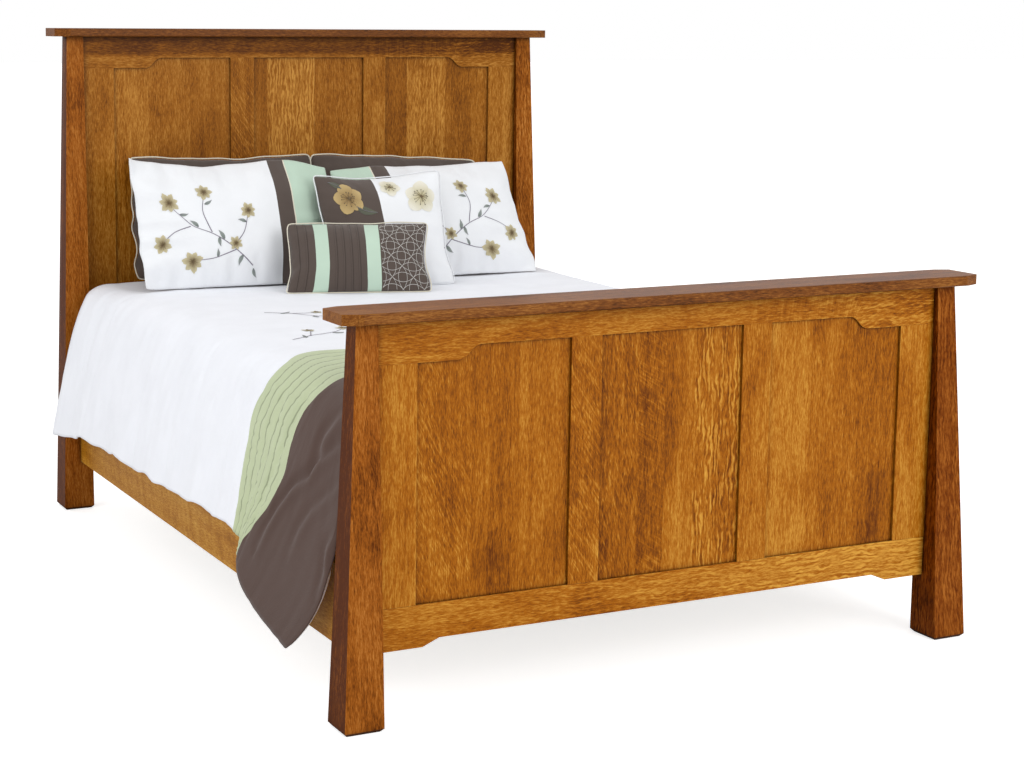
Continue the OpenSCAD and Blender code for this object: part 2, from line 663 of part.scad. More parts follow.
module back_sham(side) pillow(back_sham_w, back_sham_h, sham_t,
  back_x + side * (back_sham_w + back_gap) / 2, back_y, back_lean, 0);
module front_sham(side) pillow(sham_w, sham_h, sham_t, front_x + side * (sham_w + front_gap) / 2,
  front_y, front_lean, side == L ? front_turn_left : front_turn_right);
module square_cushion() pillow(cushion_w, cushion_h, cushion_t, cushion_x, cushion_y,
  cushion_lean, cushion_turn);
module lumbar_pillow() pillow(lumbar_w, lumbar_h, lumbar_t, lumbar_x, lumbar_y,
  lumbar_lean, lumbar_turn);

oak = "#b0702a";
oak_dark = "#8a4a20";
steel = "#8c8e92";
ticking = "#e9e6df";
white_cloth = "#f2f2f5";
brown_cloth = "#54443e";

color(oak_dark) foot_post(L);  // footboard_post_left
color(oak_dark) foot_post(R);  // footboard_post_right
color(oak_dark) at_foot() cap(foot_h);  // footboard_cap
color(oak) at_foot()  // footboard_top_rail
  top_rail(foot_h, foot_rail_top);
color(oak) at_foot()  // footboard_bottom_rail
  bottom_rail(foot_h, foot_rail_z, foot_rail_top, relief_rise);
color(oak) at_foot()  // footboard_stile_left
  stile(L, foot_h, foot_rail_top);
color(oak) at_foot()  // footboard_stile_right
  stile(R, foot_h, foot_rail_top);
color(oak) at_foot()  // footboard_mullion_left
  mullion(L, foot_h, foot_rail_top);
color(oak) at_foot()  // footboard_mullion_right
  mullion(R, foot_h, foot_rail_top);
color(oak) at_foot()  // footboard_panel_left
  panel(-1, foot_h, foot_rail_top);
color(oak) at_foot()  // footboard_panel_center
  panel(0, foot_h, foot_rail_top);
color(oak) at_foot()  // footboard_panel_right
  panel(1, foot_h, foot_rail_top);

color(oak_dark) head_post(L);  // headboard_post_left
color(oak_dark) head_post(R);  // headboard_post_right
color(oak_dark) at_head() cap(head_h);  // headboard_cap
color(oak) at_head()  // headboard_top_rail
  top_rail(head_h, head_rail_top);
color(oak) at_head()  // headboard_bottom_rail
  bottom_rail(head_h, head_rail_z, head_rail_top, 0);
color(oak) at_head()  // headboard_stile_left
  stile(L, head_h, head_rail_top);
color(oak) at_head()  // headboard_stile_right
  stile(R, head_h, head_rail_top);
color(oak) at_head()  // headboard_mullion_left
  mullion(L, head_h, head_rail_top);
color(oak) at_head()  // headboard_mullion_right
  mullion(R, head_h, head_rail_top);
color(oak) at_head()  // headboard_panel_left
  panel(-1, head_h, head_rail_top);
color(oak) at_head()  // headboard_panel_center
  panel(0, head_h, head_rail_top);
color(oak) at_head()  // headboard_panel_right
  panel(1, head_h, head_rail_top);

color(oak) side_rail(L);  // side_rail_left
color(oak) side_rail(R);  // side_rail_right
color(oak) slat_ledger(L);  // slat_ledger_left
color(oak) slat_ledger(R);  // slat_ledger_right
for (i = [1 : slat_n]) color(oak) slat(i);
for (i = [1 : slat_n - 2]) color(oak) support_leg(i + 1);
color("#2c2c2e")  // leg_levelers
  for (i = [2 : slat_n - 1]) leg_leveler(i);

color(steel)  // rail_hook_plates
  for (s = [L, R], head = [false, true]) at_rail_end(s, head) hook_plate();
color(steel)  // post_receiver_plates
  for (s = [L, R], head = [false, true]) at_rail_end(s, head) receiver_plate();
color(steel)  // plate_screws
  for (s = [L, R], head = [false, true]) at_rail_end(s, head) {
    hook_screws(0);
    receiver_screws(0);
  }
color(steel)  // ledger_screws
  for (s = [L, R]) ledger_screw_places(s) screw(ledger_screw_l, 0);
color(steel) {  // slat_screws
  for (s = [L, R]) slat_screw_places(s) screw(ledger_screw_l, 0);
  leg_screw_places() screw(ledger_screw_l, 0);
}

color(ticking) box_spring_body();  // box_spring
color(ticking) mattress_body();  // mattress
color(white_cloth) comforter_body();  // comforter
color(brown_cloth) back_sham(L);  // back_sham_left
color(brown_cloth) back_sham(R);  // back_sham_right
color(white_cloth) front_sham(L);  // front_sham_left
color(white_cloth) front_sham(R);  // front_sham_right
color(brown_cloth) square_cushion();
color(brown_cloth) lumbar_pillow();
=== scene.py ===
# %% [markdown]
# # A queen size panel bed in quartersawn oak
#
# The bed has a tall headboard and a lower footboard, each a frame of rails, stiles and mullions
# round three flat panels, held between two tapered posts under a cap board. It is made up with a
# white comforter that has a green pintucked band and a brown end, four shams, a square cushion and
# a lumbar pillow. The wood comes from the CAD model as it is and gets its finish here. Everything
# soft is modelled here, because cloth needs folds that a solid model doesn't have.

# %% Load the frame
import math

import bmesh
import bpy
import numpy as np
from mathutils import Matrix, Vector, noise


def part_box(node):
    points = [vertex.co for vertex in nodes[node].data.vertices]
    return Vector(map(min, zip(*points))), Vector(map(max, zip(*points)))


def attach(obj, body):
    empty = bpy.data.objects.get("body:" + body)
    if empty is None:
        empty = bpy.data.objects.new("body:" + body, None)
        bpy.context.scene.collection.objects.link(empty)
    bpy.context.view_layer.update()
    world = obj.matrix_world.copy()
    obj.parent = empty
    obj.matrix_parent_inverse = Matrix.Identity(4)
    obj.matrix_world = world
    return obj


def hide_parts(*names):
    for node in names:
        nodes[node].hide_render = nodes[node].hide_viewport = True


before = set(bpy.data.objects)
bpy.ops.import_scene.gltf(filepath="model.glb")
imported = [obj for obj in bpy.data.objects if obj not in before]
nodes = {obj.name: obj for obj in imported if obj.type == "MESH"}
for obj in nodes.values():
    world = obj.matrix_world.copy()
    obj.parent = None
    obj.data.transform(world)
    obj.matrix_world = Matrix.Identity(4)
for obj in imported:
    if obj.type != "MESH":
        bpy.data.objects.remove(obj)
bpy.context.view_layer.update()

# %% [markdown]
# ## Colours and nodes
#
# Colours are written the way a colour picker shows them, as sRGB hex, and one function turns them
# to the linear values that the shaders use. A second function adds one node, sets its properties
# and fills or links its inputs. The short ones after it give the outputs of the nodes that come up
# most: arithmetic, a change of range and a mix of two colours. The last two start a material with
# its shader, and link its colour and its bump.

# %% Helpers for materials


def colour(code):
    """sRGB hex to linear RGBA."""
    srgb = [int(code[i : i + 2], 16) / 255 for i in (1, 3, 5)]
    return [v / 12.92 if v <= 0.04045 else ((v + 0.055) / 1.055) ** 2.4 for v in srgb] + [1.0]


def add(tree, kind, inputs=None, stops=None, **settings):
    """One node: settings are its properties, inputs its sockets' values or links, stops a ramp's."""
    node = tree.nodes.new(kind)
    for name, value in settings.items():
        setattr(node, name, value)
    for socket, value in (inputs or {}).items():
        if isinstance(value, bpy.types.NodeSocket):
            tree.links.new(value, node.inputs[socket])
        else:
            node.inputs[socket].default_value = value
    if stops:
        ramp = node.color_ramp
        ramp.elements.remove(ramp.elements[1])
        ramp.elements[0].position = stops[0][0]
        for number, (at, value) in enumerate(stops):
            element = ramp.elements[0] if number == 0 else ramp.elements.new(at)
            element.color = value
    return node


def calc(tree, operation, *values, **settings):
    """Arithmetic on numbers or links, named as Blender names it."""
    return add(tree, "ShaderNodeMath", dict(enumerate(values)), operation=operation, **settings).outputs[0]


def vector_calc(tree, operation, *values):
    return add(tree, "ShaderNodeVectorMath", dict(enumerate(values)), operation=operation).outputs[0]


def spread(tree, value, low=0.0, high=1.0, to_low=0.0, to_high=1.0):
    """The range from low to high carried to another range, and held at its ends."""
    return add(tree, "ShaderNodeMapRange", {"Value": value, "From Min": low, "From Max": high,
                                            "To Min": to_low, "To Max": to_high}).outputs[0]


def mix(tree, share, first, second, blend="MIX"):
    """Two colours mixed: 0, 6 and 7 are the node's sockets for the share and the colours."""
    return add(tree, "ShaderNodeMix", {0: share, 6: first, 7: second}, data_type="RGBA",
               blend_type=blend).outputs[2]


def start_material(name, **constants):
    """A material, its node tree and its surface shader with constant inputs."""
    material = bpy.data.materials.new(name)
    material.use_nodes = True
    tree = material.node_tree
    shader = tree.nodes["Principled BSDF"]
    for socket, value in constants.items():
        shader.inputs[socket.replace("_", " ")].default_value = value
    return material, tree, shader


def surface(tree, shader, base, height, strength, distance):
    """Link the shader's colour, and a bump that follows the height."""
    bump = add(tree, "ShaderNodeBump", {"Height": height, "Strength": strength, "Distance": distance})
    tree.links.new(base, shader.inputs["Base Color"])
    tree.links.new(bump.outputs[0], shader.inputs["Normal"])


print("helpers ready")

# %% [markdown]
# ## The camera
#
# The photograph was taken from the left of the footboard at eye height. A pinhole camera was
# fitted to the posts, caps and panels, which gave its place, its lens and a small shift, because
# the picture was cropped off its middle. The camera has no depth of field.

# %% Camera
IMAGE_W = 1024  # pixels across the photograph
CAMERA_AT = Vector((-2.4953, -4.8304, 1.5316))
YAW, PITCH, ROLL = 0.4472, 0.1382, 0.0069  # radians
FOCAL_PX = 1954.1

forward = Vector((math.sin(YAW) * math.cos(PITCH), math.cos(YAW) * math.cos(PITCH), -math.sin(PITCH)))
level_right = Vector((math.cos(YAW), -math.sin(YAW), 0))
level_up = level_right.cross(forward)
right = level_right * math.cos(ROLL) + level_up * math.sin(ROLL)
up = level_up * math.cos(ROLL) - level_right * math.sin(ROLL)
lens = bpy.data.cameras.new("camera")
lens.sensor_width = 36
lens.lens = FOCAL_PX / IMAGE_W * lens.sensor_width
lens.shift_x, lens.shift_y = 0.109, -0.090
camera = bpy.data.objects.new("camera", lens)
camera.matrix_world = Matrix.Translation(CAMERA_AT) @ Matrix((right, up, -forward)).transposed().to_4x4()
scene = bpy.context.scene
scene.collection.objects.link(camera)
scene.camera = camera
print("lens mm", round(lens.lens, 1))

# %% [markdown]
# ## Studio light
#
# The product picture has large soft lights and a white sweep. A bright world gives the even
# ambient light, one large lamp above the camera's right lights the footboard's face, a weaker one
# from the left opens the shaded side, and a third above the bed lifts the bedding. The floor and the
# world show pure white to the camera, and the floor still takes the bed's shadow.

# %% World, lamps and floor
scene.view_settings.view_transform = "Standard"
world = bpy.data.worlds.new("white studio")
world.use_nodes = True
scene.world = world
tree = world.node_tree
path = add(tree, "ShaderNodeLightPath").outputs
seen = calc(tree, "MAXIMUM", path["Is Camera Ray"], path["Is Glossy Ray"])
seen = calc(tree, "MAXIMUM", seen, path["Is Transmission Ray"])
AMBIENT = 0.77  # the world's strength, except where it is seen
background = tree.nodes["Background"]
background.inputs["Color"].default_value = colour("#ffffff")
tree.links.new(spread(tree, seen, to_low=AMBIENT), background.inputs["Strength"])


def lamp(name, place, aim, size, power):
    light = bpy.data.lights.new(name, "AREA")
    light.shape = "SQUARE"
    light.size = size
    light.energy = power
    lamp_object = bpy.data.objects.new(name, light)
    lamp_object.location = place
    lamp_object.rotation_euler = (Vector(aim) - Vector(place)).to_track_quat("-Z", "Y").to_euler()
    scene.collection.objects.link(lamp_object)


lamp("key_lamp", (1.4, -5.6, 2.5), (0, -0.6, 0.5), 3.0, 110)
lamp("side_lamp", (-5.2, -1.4, 2.2), (0, 0, 0.5), 3.0, 64)
lamp("top_lamp", (0.0, 0.4, 4.6), (0, 0.2, 0.6), 3.5, 28)

FLOOR_HALF = 60.0  # half the floor's side, in metres
floor_mesh = bpy.data.meshes.new("floor")
corners = [(x * FLOOR_HALF, y * FLOOR_HALF, 0) for x, y in ((-1, -1), (1, -1), (1, 1), (-1, 1))]
floor_mesh.from_pydata(corners, [], [(0, 1, 2, 3)])
floor = bpy.data.objects.new("floor", floor_mesh)
scene.collection.objects.link(floor)
floor_finish, tree, shader = start_material(
    "matte white studio floor", Base_Color=colour("#e6e6e6"), Roughness=0.9, Specular_IOR_Level=0.1,
    Emission_Color=colour("#ffffff"))
FLOOR_LIFT = 0.66  # added for the camera alone, so that lit floor shows as white
lift = calc(tree, "MULTIPLY", add(tree, "ShaderNodeLightPath").outputs["Is Camera Ray"], FLOOR_LIFT)
tree.links.new(lift, shader.inputs["Emission Strength"])
floor_mesh.materials.append(floor_finish)
print("lamps and floor set")

# %% [markdown]
# ## Quartersawn oak
#
# Oak that is cut through the middle of the log shows straight grain, and across it the pale ribbons
# of its rays, called fleck. The wood is stained amber and has a satin lacquer. Each piece gets the
# grain from stretched noise. Fleck is drawn in two ways: short pale dashes at an angle, which look
# like hatching, and waves that wander along the grain, which look like ripples. A glued-up
# panel has several boards, and no two are alike, so a ramp across the panel gives each board its
# tone, the angle of its grain and how much fleck it shows. On a rail the same ramp runs along the
# board without steps. Real pores are 0.3 mm wide, too fine for the picture, so they are drawn 2.5 mm.

# %% Oak finish
AXES = {"X": "ZXY", "Y": "ZYX", "Z": "XZY"}  # across, along and through the board
LEAN = 1.2  # radians of grain angle from one end of its scale, 0, to the middle, 0.5
CAP_SHADOW_FROM, CAP_SHADOW_FULL = 0.062, 0.045  # depths under the cap where its painted shadow on a rail starts and is full


def oak(name, node, grain, tones, boards, seed, stepped=True, gloss=0.03, shaded_face=0.0, dark_top=0.0):
    """Oak with the grain along X, Y or Z. Each board is (from, tone, angle, fleck), all from 0 to 1.

    The next to last argument paints shade on the faces that look to the left, and the last one paints the
    cap's shadow on the top of a rail that runs along X.
    """
    material, tree, shader = start_material(name, Roughness=0.45, Coat_Weight=gloss, Coat_Roughness=0.25,
                                            Specular_IOR_Level=3 * gloss)

    def plus(value, factor, offset):
        return calc(tree, "MULTIPLY_ADD", value, factor, offset)

    def times(first, second):
        return calc(tree, "MULTIPLY", first, second)

    spot = add(tree, "ShaderNodeTexCoord").outputs
    split = add(tree, "ShaderNodeSeparateXYZ", {0: spot["Object"]}).outputs
    across, along, through = (split[axis] for axis in AXES[grain])
    low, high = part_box(node)
    axis = "XYZ".index(AXES[grain][0 if stepped else 1])
    ramp = add(tree, "ShaderNodeValToRGB", {0: spread(tree, split[axis], low[axis], high[axis])},
               stops=[(at, [tone, angle, fleck, 1.0]) for at, tone, angle, fleck in boards])
    ramp.color_ramp.interpolation = "CONSTANT" if stepped else "EASE"
    tone, angle, fleck = add(tree, "ShaderNodeSeparateColor", {0: ramp.outputs[0]}).outputs
    if shaded_face:  # painted shade: the faces that look to the left are made darker
        facing = add(tree, "ShaderNodeSeparateXYZ", {0: spot["Normal"]}).outputs[0]
        tone = plus(calc(tree, "LESS_THAN", facing, -0.5), -shaded_face, tone)
    # painted shadow of the cap: the top of a rail along X is darker just under the cap
    if dark_top:
        stain = spread(tree, across, high[2] - CAP_SHADOW_FROM, high[2] - CAP_SHADOW_FULL, to_high=dark_top)
        tone = calc(tree, "SUBTRACT", tone, stain)

    # each board is cut from another place, and its grain wanders a little
    jump = plus(tone, 3.7 if stepped else 0.0, seed * 0.731)
    point = add(tree, "ShaderNodeCombineXYZ", {0: plus(through, 0.8, across), 1: through, 2: along})
    point = vector_calc(tree, "ADD", point.outputs[0], jump)
    bend = add(tree, "ShaderNodeTexNoise", {"Vector": point, "Scale": 4.0, "Detail": 2.0}).outputs["Color"]
    bend = vector_calc(tree, "MULTIPLY_ADD", bend, (0.022, 0, 0), point)
    leant = add(tree, "ShaderNodeVectorRotate", {"Vector": bend, "Angle": plus(angle, 2 * LEAN, -LEAN)},
                rotation_type="Y_AXIS").outputs[0]

    def streaks(vector, scale, detail=2.0, low=0.0, high=1.0, **more):
        """Noise stretched along the board, with its middle range from low to high spread out."""
        vector = vector_calc(tree, "MULTIPLY", vector, scale)
        value = add(tree, "ShaderNodeTexNoise", {"Vector": vector, "Scale": 1.0, "Detail": detail, **more})
        return spread(tree, value.outputs["Fac"], low, high)

    rings = streaks(bend, (60, 60, 2.2), 3.0)
    pores = streaks(bend, (400, 400, 55), Roughness=0.8)
    clouds = streaks(leant, (11, 11, 4), 4.0, Distortion=0.6)
    smoke = streaks(point, (8, 8, 4), low=0.52, high=0.74)  # darker patches where the stain took more
    # hatching: short pale dashes at the board's angle, in patches; none where the grain is straight
    steep = calc(tree, "ABSOLUTE", calc(tree, "SUBTRACT", angle, 0.5))
    steep = calc(tree, "MULTIPLY", steep, 7.0, use_clamp=True)
    patch = plus(streaks(point, (8, 8, 4), low=0.36, high=0.56), 0.7, 0.3)
    hatch = times(times(streaks(leant, (240, 240, 28), 1.0, 0.50, 0.64), steep), patch)
    # ripples: a wave across the board that wanders as it runs along, broken into islands
    wavy = vector_calc(tree, "MULTIPLY", bend, (1, 1, 0.36))
    wave = add(tree, "ShaderNodeTexWave", {"Vector": wavy, "Scale": 26, "Distortion": 9.0, "Detail": 2.0,
                                          "Detail Scale": 1.8, "Detail Roughness": 0.6})
    flame = spread(tree, wave.outputs["Fac"], 0.2, 0.85, to_low=-0.5)
    flame = times(times(flame, streaks(bend, (55, 55, 18), low=0.40, high=0.54)), fleck)

    # everything adds up to one tone from dark to light
    total = plus(tone, 0.50, -0.78)
    for part, weight in ((rings, 0.42), (pores, 1.15), (clouds, 0.38), (hatch, 0.20), (flame, 0.27),
                         (smoke, -0.20)):
        total = plus(part, weight, total)
    base = add(tree, "ShaderNodeValToRGB", {0: total},
               stops=[(at, colour(code)) for at, code in zip((0.08, 0.45, 0.9), tones)]).outputs[0]
    # painted shade: ambient occlusion darkens corners and joints, where shade falls and stain also collects
    corner = add(tree, "ShaderNodeAmbientOcclusion", {"Distance": 0.02}, samples=6).outputs["AO"]
    base = mix(tree, 1.0, base, spread(tree, corner, 0.4, 0.92, 0.25), "MULTIPLY")
    surface(tree, shader, base, pores, 0.2, 0.0006)
    return material


def finish(node, material):
    nodes[node].data.materials.clear()
    nodes[node].data.materials.append(material)


print("oak ready")

# %% [markdown]
# The tones run from the dark of the grain to the pale of the fleck. The posts and caps are stained
# darker and redder than the panels, and the headboard, which stands in the shade, a little darker
# than the footboard. The lists give each panel's boards from left to right, and each rail's changes
# along its length.

# %% Stain the boards
AMBER = ("#5e2c00", "#a25c04", "#d39a3c")
SHADED = ("#562a00", "#96590e", "#cc9140")
OCHRE = ("#603804", "#a66a10", "#d7a648")
RUSSET = ("#4e2202", "#965314", "#c6843c")
DEEP = ("#361200", "#763804", "#a86422")
UMBER = ("#301500", "#744010", "#ac7432")
PANELS = {
    "footboard_panel_left": [(0, 0.42, 0.68, 0), (0.36, 0.34, 0.52, 0), (0.66, 0.50, 0.50, 0.1)],
    "footboard_panel_center": [(0, 0.26, 0.64, 0.3), (0.28, 0.14, 0.92, 0.2), (0.46, 0.60, 0.5, 0),
                               (0.66, 0.50, 0.5, 1.0)],
    "footboard_panel_right": [(0, 0.68, 0.53, 0), (0.33, 0.46, 0.46, 0.15), (0.66, 0.28, 0.44, 0)],
    "headboard_panel_left": [(0, 0.62, 0.55, 0.2), (0.3, 0.52, 0.46, 0), (0.65, 0.60, 0.5, 0.1)],
    "headboard_panel_center": [(0, 0.42, 0.5, 0), (0.14, 0.78, 0.56, 0.8), (0.55, 0.40, 0.5, 0.1),
                               (0.72, 0.54, 0.45, 0.2)],
    "headboard_panel_right": [(0, 0.40, 0.5, 0.1), (0.22, 0.72, 0.4, 0.5), (0.58, 0.46, 0.55, 0.1)],
}
RAILS = {
    "top_rail": [(0, 0.64, 0.50, 0), (0.6, 0.60, 0.48, 0.1), (0.85, 0.54, 0.36, 0.5)],
    "bottom_rail": [(0, 0.60, 0.48, 0.1), (0.5, 0.66, 0.50, 0.5), (0.85, 0.90, 0.52, 1.0)],
}
CAP_BOARDS = {
    "footboard": [(0, 0.66, 0.5, 0), (0.3, 0.44, 0.5, 0.1)],
    "headboard": [(0, 0.40, 0.5, 0), (0.5, 0.38, 0.5, 0.1), (0.95, 0.56, 0.5, 0)],
}
UPRIGHTS = {
    "stile_left": (0.62, 0.5, 0), "stile_right": (0.68, 0.5, 0),
    "mullion_left": (0.42, 0.74, 0.1), "mullion_right": (0.62, 0.52, 0),
}
stained = []  # every stained piece, whose number is the seed of its grain


def stain(node, grain, tones, boards, kind="stained", **more):
    """Give one piece its own oak."""
    stained.append(node)
    name = f"{kind} oak {node.replace('_', ' ')}"
    finish(node, oak(name, node, grain, tones, boards, len(stained), **more))


for end, tones in (("footboard", AMBER), ("headboard", SHADED)):
    for side in ("left", "center", "right"):
        stain(f"{end}_panel_{side}", "Z", tones, PANELS[f"{end}_panel_{side}"])
    for part, board in UPRIGHTS.items():
        stain(f"{end}_{part}", "Z", tones, [(0, *board)])
    for part, boards in RAILS.items():
        # the headboard's top rail gets the cap's shadow painted along its top
        stain(f"{end}_{part}", "X", tones, boards, stepped=False,
              dark_top=0.6 if (end, part) == ("headboard", "top_rail") else 0.0)
    right_stain, right_tone = (DEEP, 0.54) if end == "footboard" else (RUSSET, 0.42)
    # the faces of the posts that look to the left get painted shade
    stain(f"{end}_post_left", "Z", RUSSET, [(0, 0.46, 0.54, 0.2)], "dark", gloss=0.015, shaded_face=0.75)
    stain(f"{end}_post_right", "Z", right_stain, [(0, right_tone, 0.60, 0.6)], "dark", gloss=0.015,
          shaded_face=0.35)
    stain(f"{end}_cap", "X", UMBER, CAP_BOARDS[end], "dark", stepped=False, gloss=0.04)
for side in ("left", "right"):
    stain(f"side_rail_{side}", "Y", OCHRE, [(0, 0.66, 0.54, 0.1), (1, 0.6, 0.46, 0)], stepped=False)
print("oak finishes", len(stained))

# %% [markdown]
# ## Eased edges
#
# A cabinetmaker eases every arris, and the lacquer shows a thin pale line there. A weld joins the
# imported faces and a bevel of 1.6 mm rounds the edges.

# %% Ease the arrises
EASE = 0.0016
hard_wood = [n for n in nodes if n.startswith(("footboard", "headboard", "side_rail"))]
for name in hard_wood:
    weld = nodes[name].modifiers.new("weld", "WELD")
    weld.merge_threshold = 0.00002
    bevel = nodes[name].modifiers.new("eased edge", "BEVEL")
    bevel.width = EASE
    bevel.segments = 2
    bevel.limit_method = "ANGLE"
    bevel.angle_limit = math.radians(40)
    bevel.harden_normals = True
print("eased", len(hard_wood), "boards")

# %% [markdown]
# ## Hidden wood and hardware
#
# The slats, ledgers and legs are plain planed hardwood. The hook plates, receiver plates and
# screws are zinc plated steel, a bright metal with a faint blue cast and a mottled shine. The
# leveling pads are black moulded nylon.

# %% Slat wood, zinc and nylon
PLANED = ("#8a6236", "#b08a58", "#d0ac7a")
EVEN = [(0, 0.5, 0.5, 0)]
plain_wood = oak("planed hardwood", "slat_ledger_left", "Y", PLANED, EVEN, 60)
cross_wood = oak("planed hardwood slat", "slat_1", "X", PLANED, EVEN, 61)
leg_wood = oak("planed hardwood leg", "support_leg_1", "Z", PLANED, EVEN, 62)
zinc, tree, shader = start_material("zinc plated steel", Metallic=1.0)
where = add(tree, "ShaderNodeTexCoord").outputs["Object"]
blotch = add(tree, "ShaderNodeTexNoise", {"Vector": where, "Scale": 260.0, "Detail": 3.0}).outputs["Fac"]
tree.links.new(mix(tree, blotch, colour("#8f9398"), colour("#b9bcc0")), shader.inputs["Base Color"])
tree.links.new(spread(tree, blotch, to_low=0.28, to_high=0.46), shader.inputs["Roughness"])
nylon, tree, shader = start_material("moulded black nylon", Roughness=0.5)
where = add(tree, "ShaderNodeTexCoord").outputs["Object"]
grit = add(tree, "ShaderNodeTexNoise", {"Vector": where, "Scale": 900.0}).outputs["Fac"]
surface(tree, shader, mix(tree, grit, colour("#1c1c1e"), colour("#2e2e31")), grit, 0.2, 0.0004)
for name in nodes:
    if name.startswith("slat_ledger"):
        finish(name, plain_wood)
    elif name.startswith("slat_") and name != "slat_screws":
        finish(name, cross_wood)
    elif name.startswith("support_leg"):
        finish(name, leg_wood)
    elif name.endswith(("plates", "screws")):
        finish(name, zinc)
    elif name == "leg_levelers":
        finish(name, nylon)
print("hidden pieces finished")

# %% [markdown]
# ## Cotton
#
# All the covers are woven cotton. It scatters light evenly, has a faint sheen of fibre ends at its
# edges, and creases softly. Its threads are 0.25 mm apart, too fine for the picture, so the weave is
# drawn 1.6 mm apart and very shallow. Where a cover is sewn from several colours, the cloth carries
# its own flat coordinates in metres, as an attribute called cloth, and the colours change along
# lines of those coordinates.

# %% Cotton covers
WEAVE = 2 * math.pi / 0.0016  # radians per metre of cloth


def cotton(name, first, zones=(), lines=(), pleats=(), back=None, sheen=0.25, hang=(1, 1, 1)):
    """Woven cotton of the first colour, with others along the first flat coordinate.

    zones are (from, colour), lines (place, width, colour) thin seams, and pleats (place, width) folds, whose
    shade is painted as a thin darker line.
    back is the colour of a pillow's far panel, and hang stretches the creases.
    """
    material, tree, shader = start_material(name, Roughness=0.86, Sheen_Weight=sheen, Sheen_Roughness=0.5,
                                            Specular_IOR_Level=0.2)
    flat = add(tree, "ShaderNodeAttribute", attribute_name="cloth").outputs["Vector"]
    measure, second, panel = add(tree, "ShaderNodeSeparateXYZ", {0: flat}).outputs
    base = colour(first)
    for start, code in zones:
        base = mix(tree, calc(tree, "GREATER_THAN", measure, start), base, colour(code))
    for at, width, code in lines:
        base = mix(tree, calc(tree, "COMPARE", measure, at, width / 2), base, colour(code))
    if back:
        base = mix(tree, calc(tree, "GREATER_THAN", panel, 0.51), base, colour(back))
    # cloth that is handled is a little uneven in tone
    blotch = add(tree, "ShaderNodeTexNoise", {"Vector": flat, "Scale": 9.0, "Detail": 4.0}).outputs["Fac"]
    base = mix(tree, 1.0, base, spread(tree, blotch, 0.3, 0.7, 0.955), "MULTIPLY")
    for at, width in pleats:  # painted shade: a pleat's fold is darkened along a thin line
        near = calc(tree, "ABSOLUTE", calc(tree, "SUBTRACT", measure, at))
        base = mix(tree, 1.0, base, spread(tree, near, width * 0.3, width, 0.58), "MULTIPLY")
    warp, weft = (calc(tree, "SINE", calc(tree, "MULTIPLY", way, WEAVE)) for way in (measure, second))
    weave = calc(tree, "MULTIPLY", warp, weft)
    crumple = add(tree, "ShaderNodeTexNoise", {"Vector": vector_calc(tree, "MULTIPLY", flat, hang),
                                               "Scale": 38.0, "Detail": 5.0, "Roughness": 0.6})
    height = calc(tree, "MULTIPLY_ADD", weave, 0.02, crumple.outputs["Fac"])
    surface(tree, shader, base, height, 0.35, 0.0022)
    return material


WHITE, GREEN, BROWN, CREAM = "#f0f2f8", "#bec8a4", "#54413a", "#dcd6c4"
SHAM_WHITE, SHAM_GREEN, SHAM_BROWN = "#eaecef", "#bbd1bf", "#534842"
print("cotton ready")

# %% [markdown]
# ## The comforter
#
# A comforter is a filled cover, here up to 15 mm thick. It lies over the mattress, rounds its edges,
# and hangs down both sides with soft folds. At the foot it is tucked between the mattress and the
# footboard, so the spare cloth of each foot corner swings down in a point. It could be dropped on
# the bed by simulation, but its hem and corner would then fall where they like. Here it is one
# sheet of rows and columns that follows the CAD skin, and folds are added as the real ones run:
# long on the hanging sides, faint on the top, and fanned out from the post at the corners.

# %% Comforter shape
MATTRESS_R = 0.040  # the rounding of the mattress's edges, whose centre lines are these
MATTRESS_X, MATTRESS_Y, EDGE_Z = 0.724, -0.992, 0.6558
EDGE_X, EDGE_Y = 0.722, -0.990  # the skin turns round lines 2 mm further in
TURN_R = 0.0618  # from those lines to the outer skin
HEAD_END = 0.984  # y of the comforter's head end
CORNER, TUCK = 0.46, 0.07  # length of the foot corner, and depth of the tuck
HEM_Z, HEM_HEAD_Z, TIP_Z = 0.318, 0.255, 0.115  # heights of the hem, its head end and the corner's tip
HEM_OUT = 0.106  # how far the hem stands out past the turn
HEM_SAG = 0.016  # the hem hangs lower between the posts
DIP_LEN = 0.43  # over this length from the head end the hem drops to its lower height
MATTRESS_FOOT = -1.030  # y of the mattress's foot end
# foot corner: place of the top, of the hem (shares of CORNER), drop to the tip, power, stand-out
CORNER_ROWS = [
    (0.85, 1.0, 0.08, 1.5, 0.90), (0.70, 0.975, 0.20, 1.4, 0.98), (0.54, 0.945, 0.36, 1.5, 1.06),
    (0.39, 0.88, 0.55, 1.7, 1.08), (0.26, 0.76, 0.70, 1.9, 1.02), (0.13, 0.63, 0.82, 2.2, 0.97),
    (0.0, 0.52, 0.90, 2.5, 0.92)]
# round the foot edge and down the tuck: turn in degrees, share of the tuck, and the last four again
TUCK_ROWS = [
    (30, 0, 0.46, 0.94, 2.7, 0.90), (60, 0, 0.42, 0.97, 2.9, 0.88), (90, 0, 0.41, 0.985, 3.1, 0.87),
    (90, 0.5, 0.39, 0.995, 3.3, 0.86), (90, 1, 0.38, 1.0, 3.5, 0.85)]
TOP_LEN = HEAD_END - EDGE_Y
PLAIN_LEN = TOP_LEN - CORNER


def hem_at(share):
    return HEM_Z + share * (TIP_Z - HEM_Z)


def soften(values, steps, axis=0):
    """Gaussian smoothing over so many steps along one axis, with the ends carried on straight."""
    reach = math.ceil(3 * steps)
    kernel = np.exp(-0.5 * (np.arange(-reach, reach + 1) / steps) ** 2)
    margin = [(reach, reach) if k == axis else (0, 0) for k in range(values.ndim)]
    padded = np.pad(values, margin, mode="reflect", reflect_type="odd")
    places = np.arange(values.shape[axis])
    return sum(weight * padded.take(places + i, axis) for i, weight in enumerate(kernel / kernel.sum()))


def climb(values, start, width):
    """0 up to start, 1 from start + width on, and straight between."""
    return np.clip((values - start) / width, 0, 1)


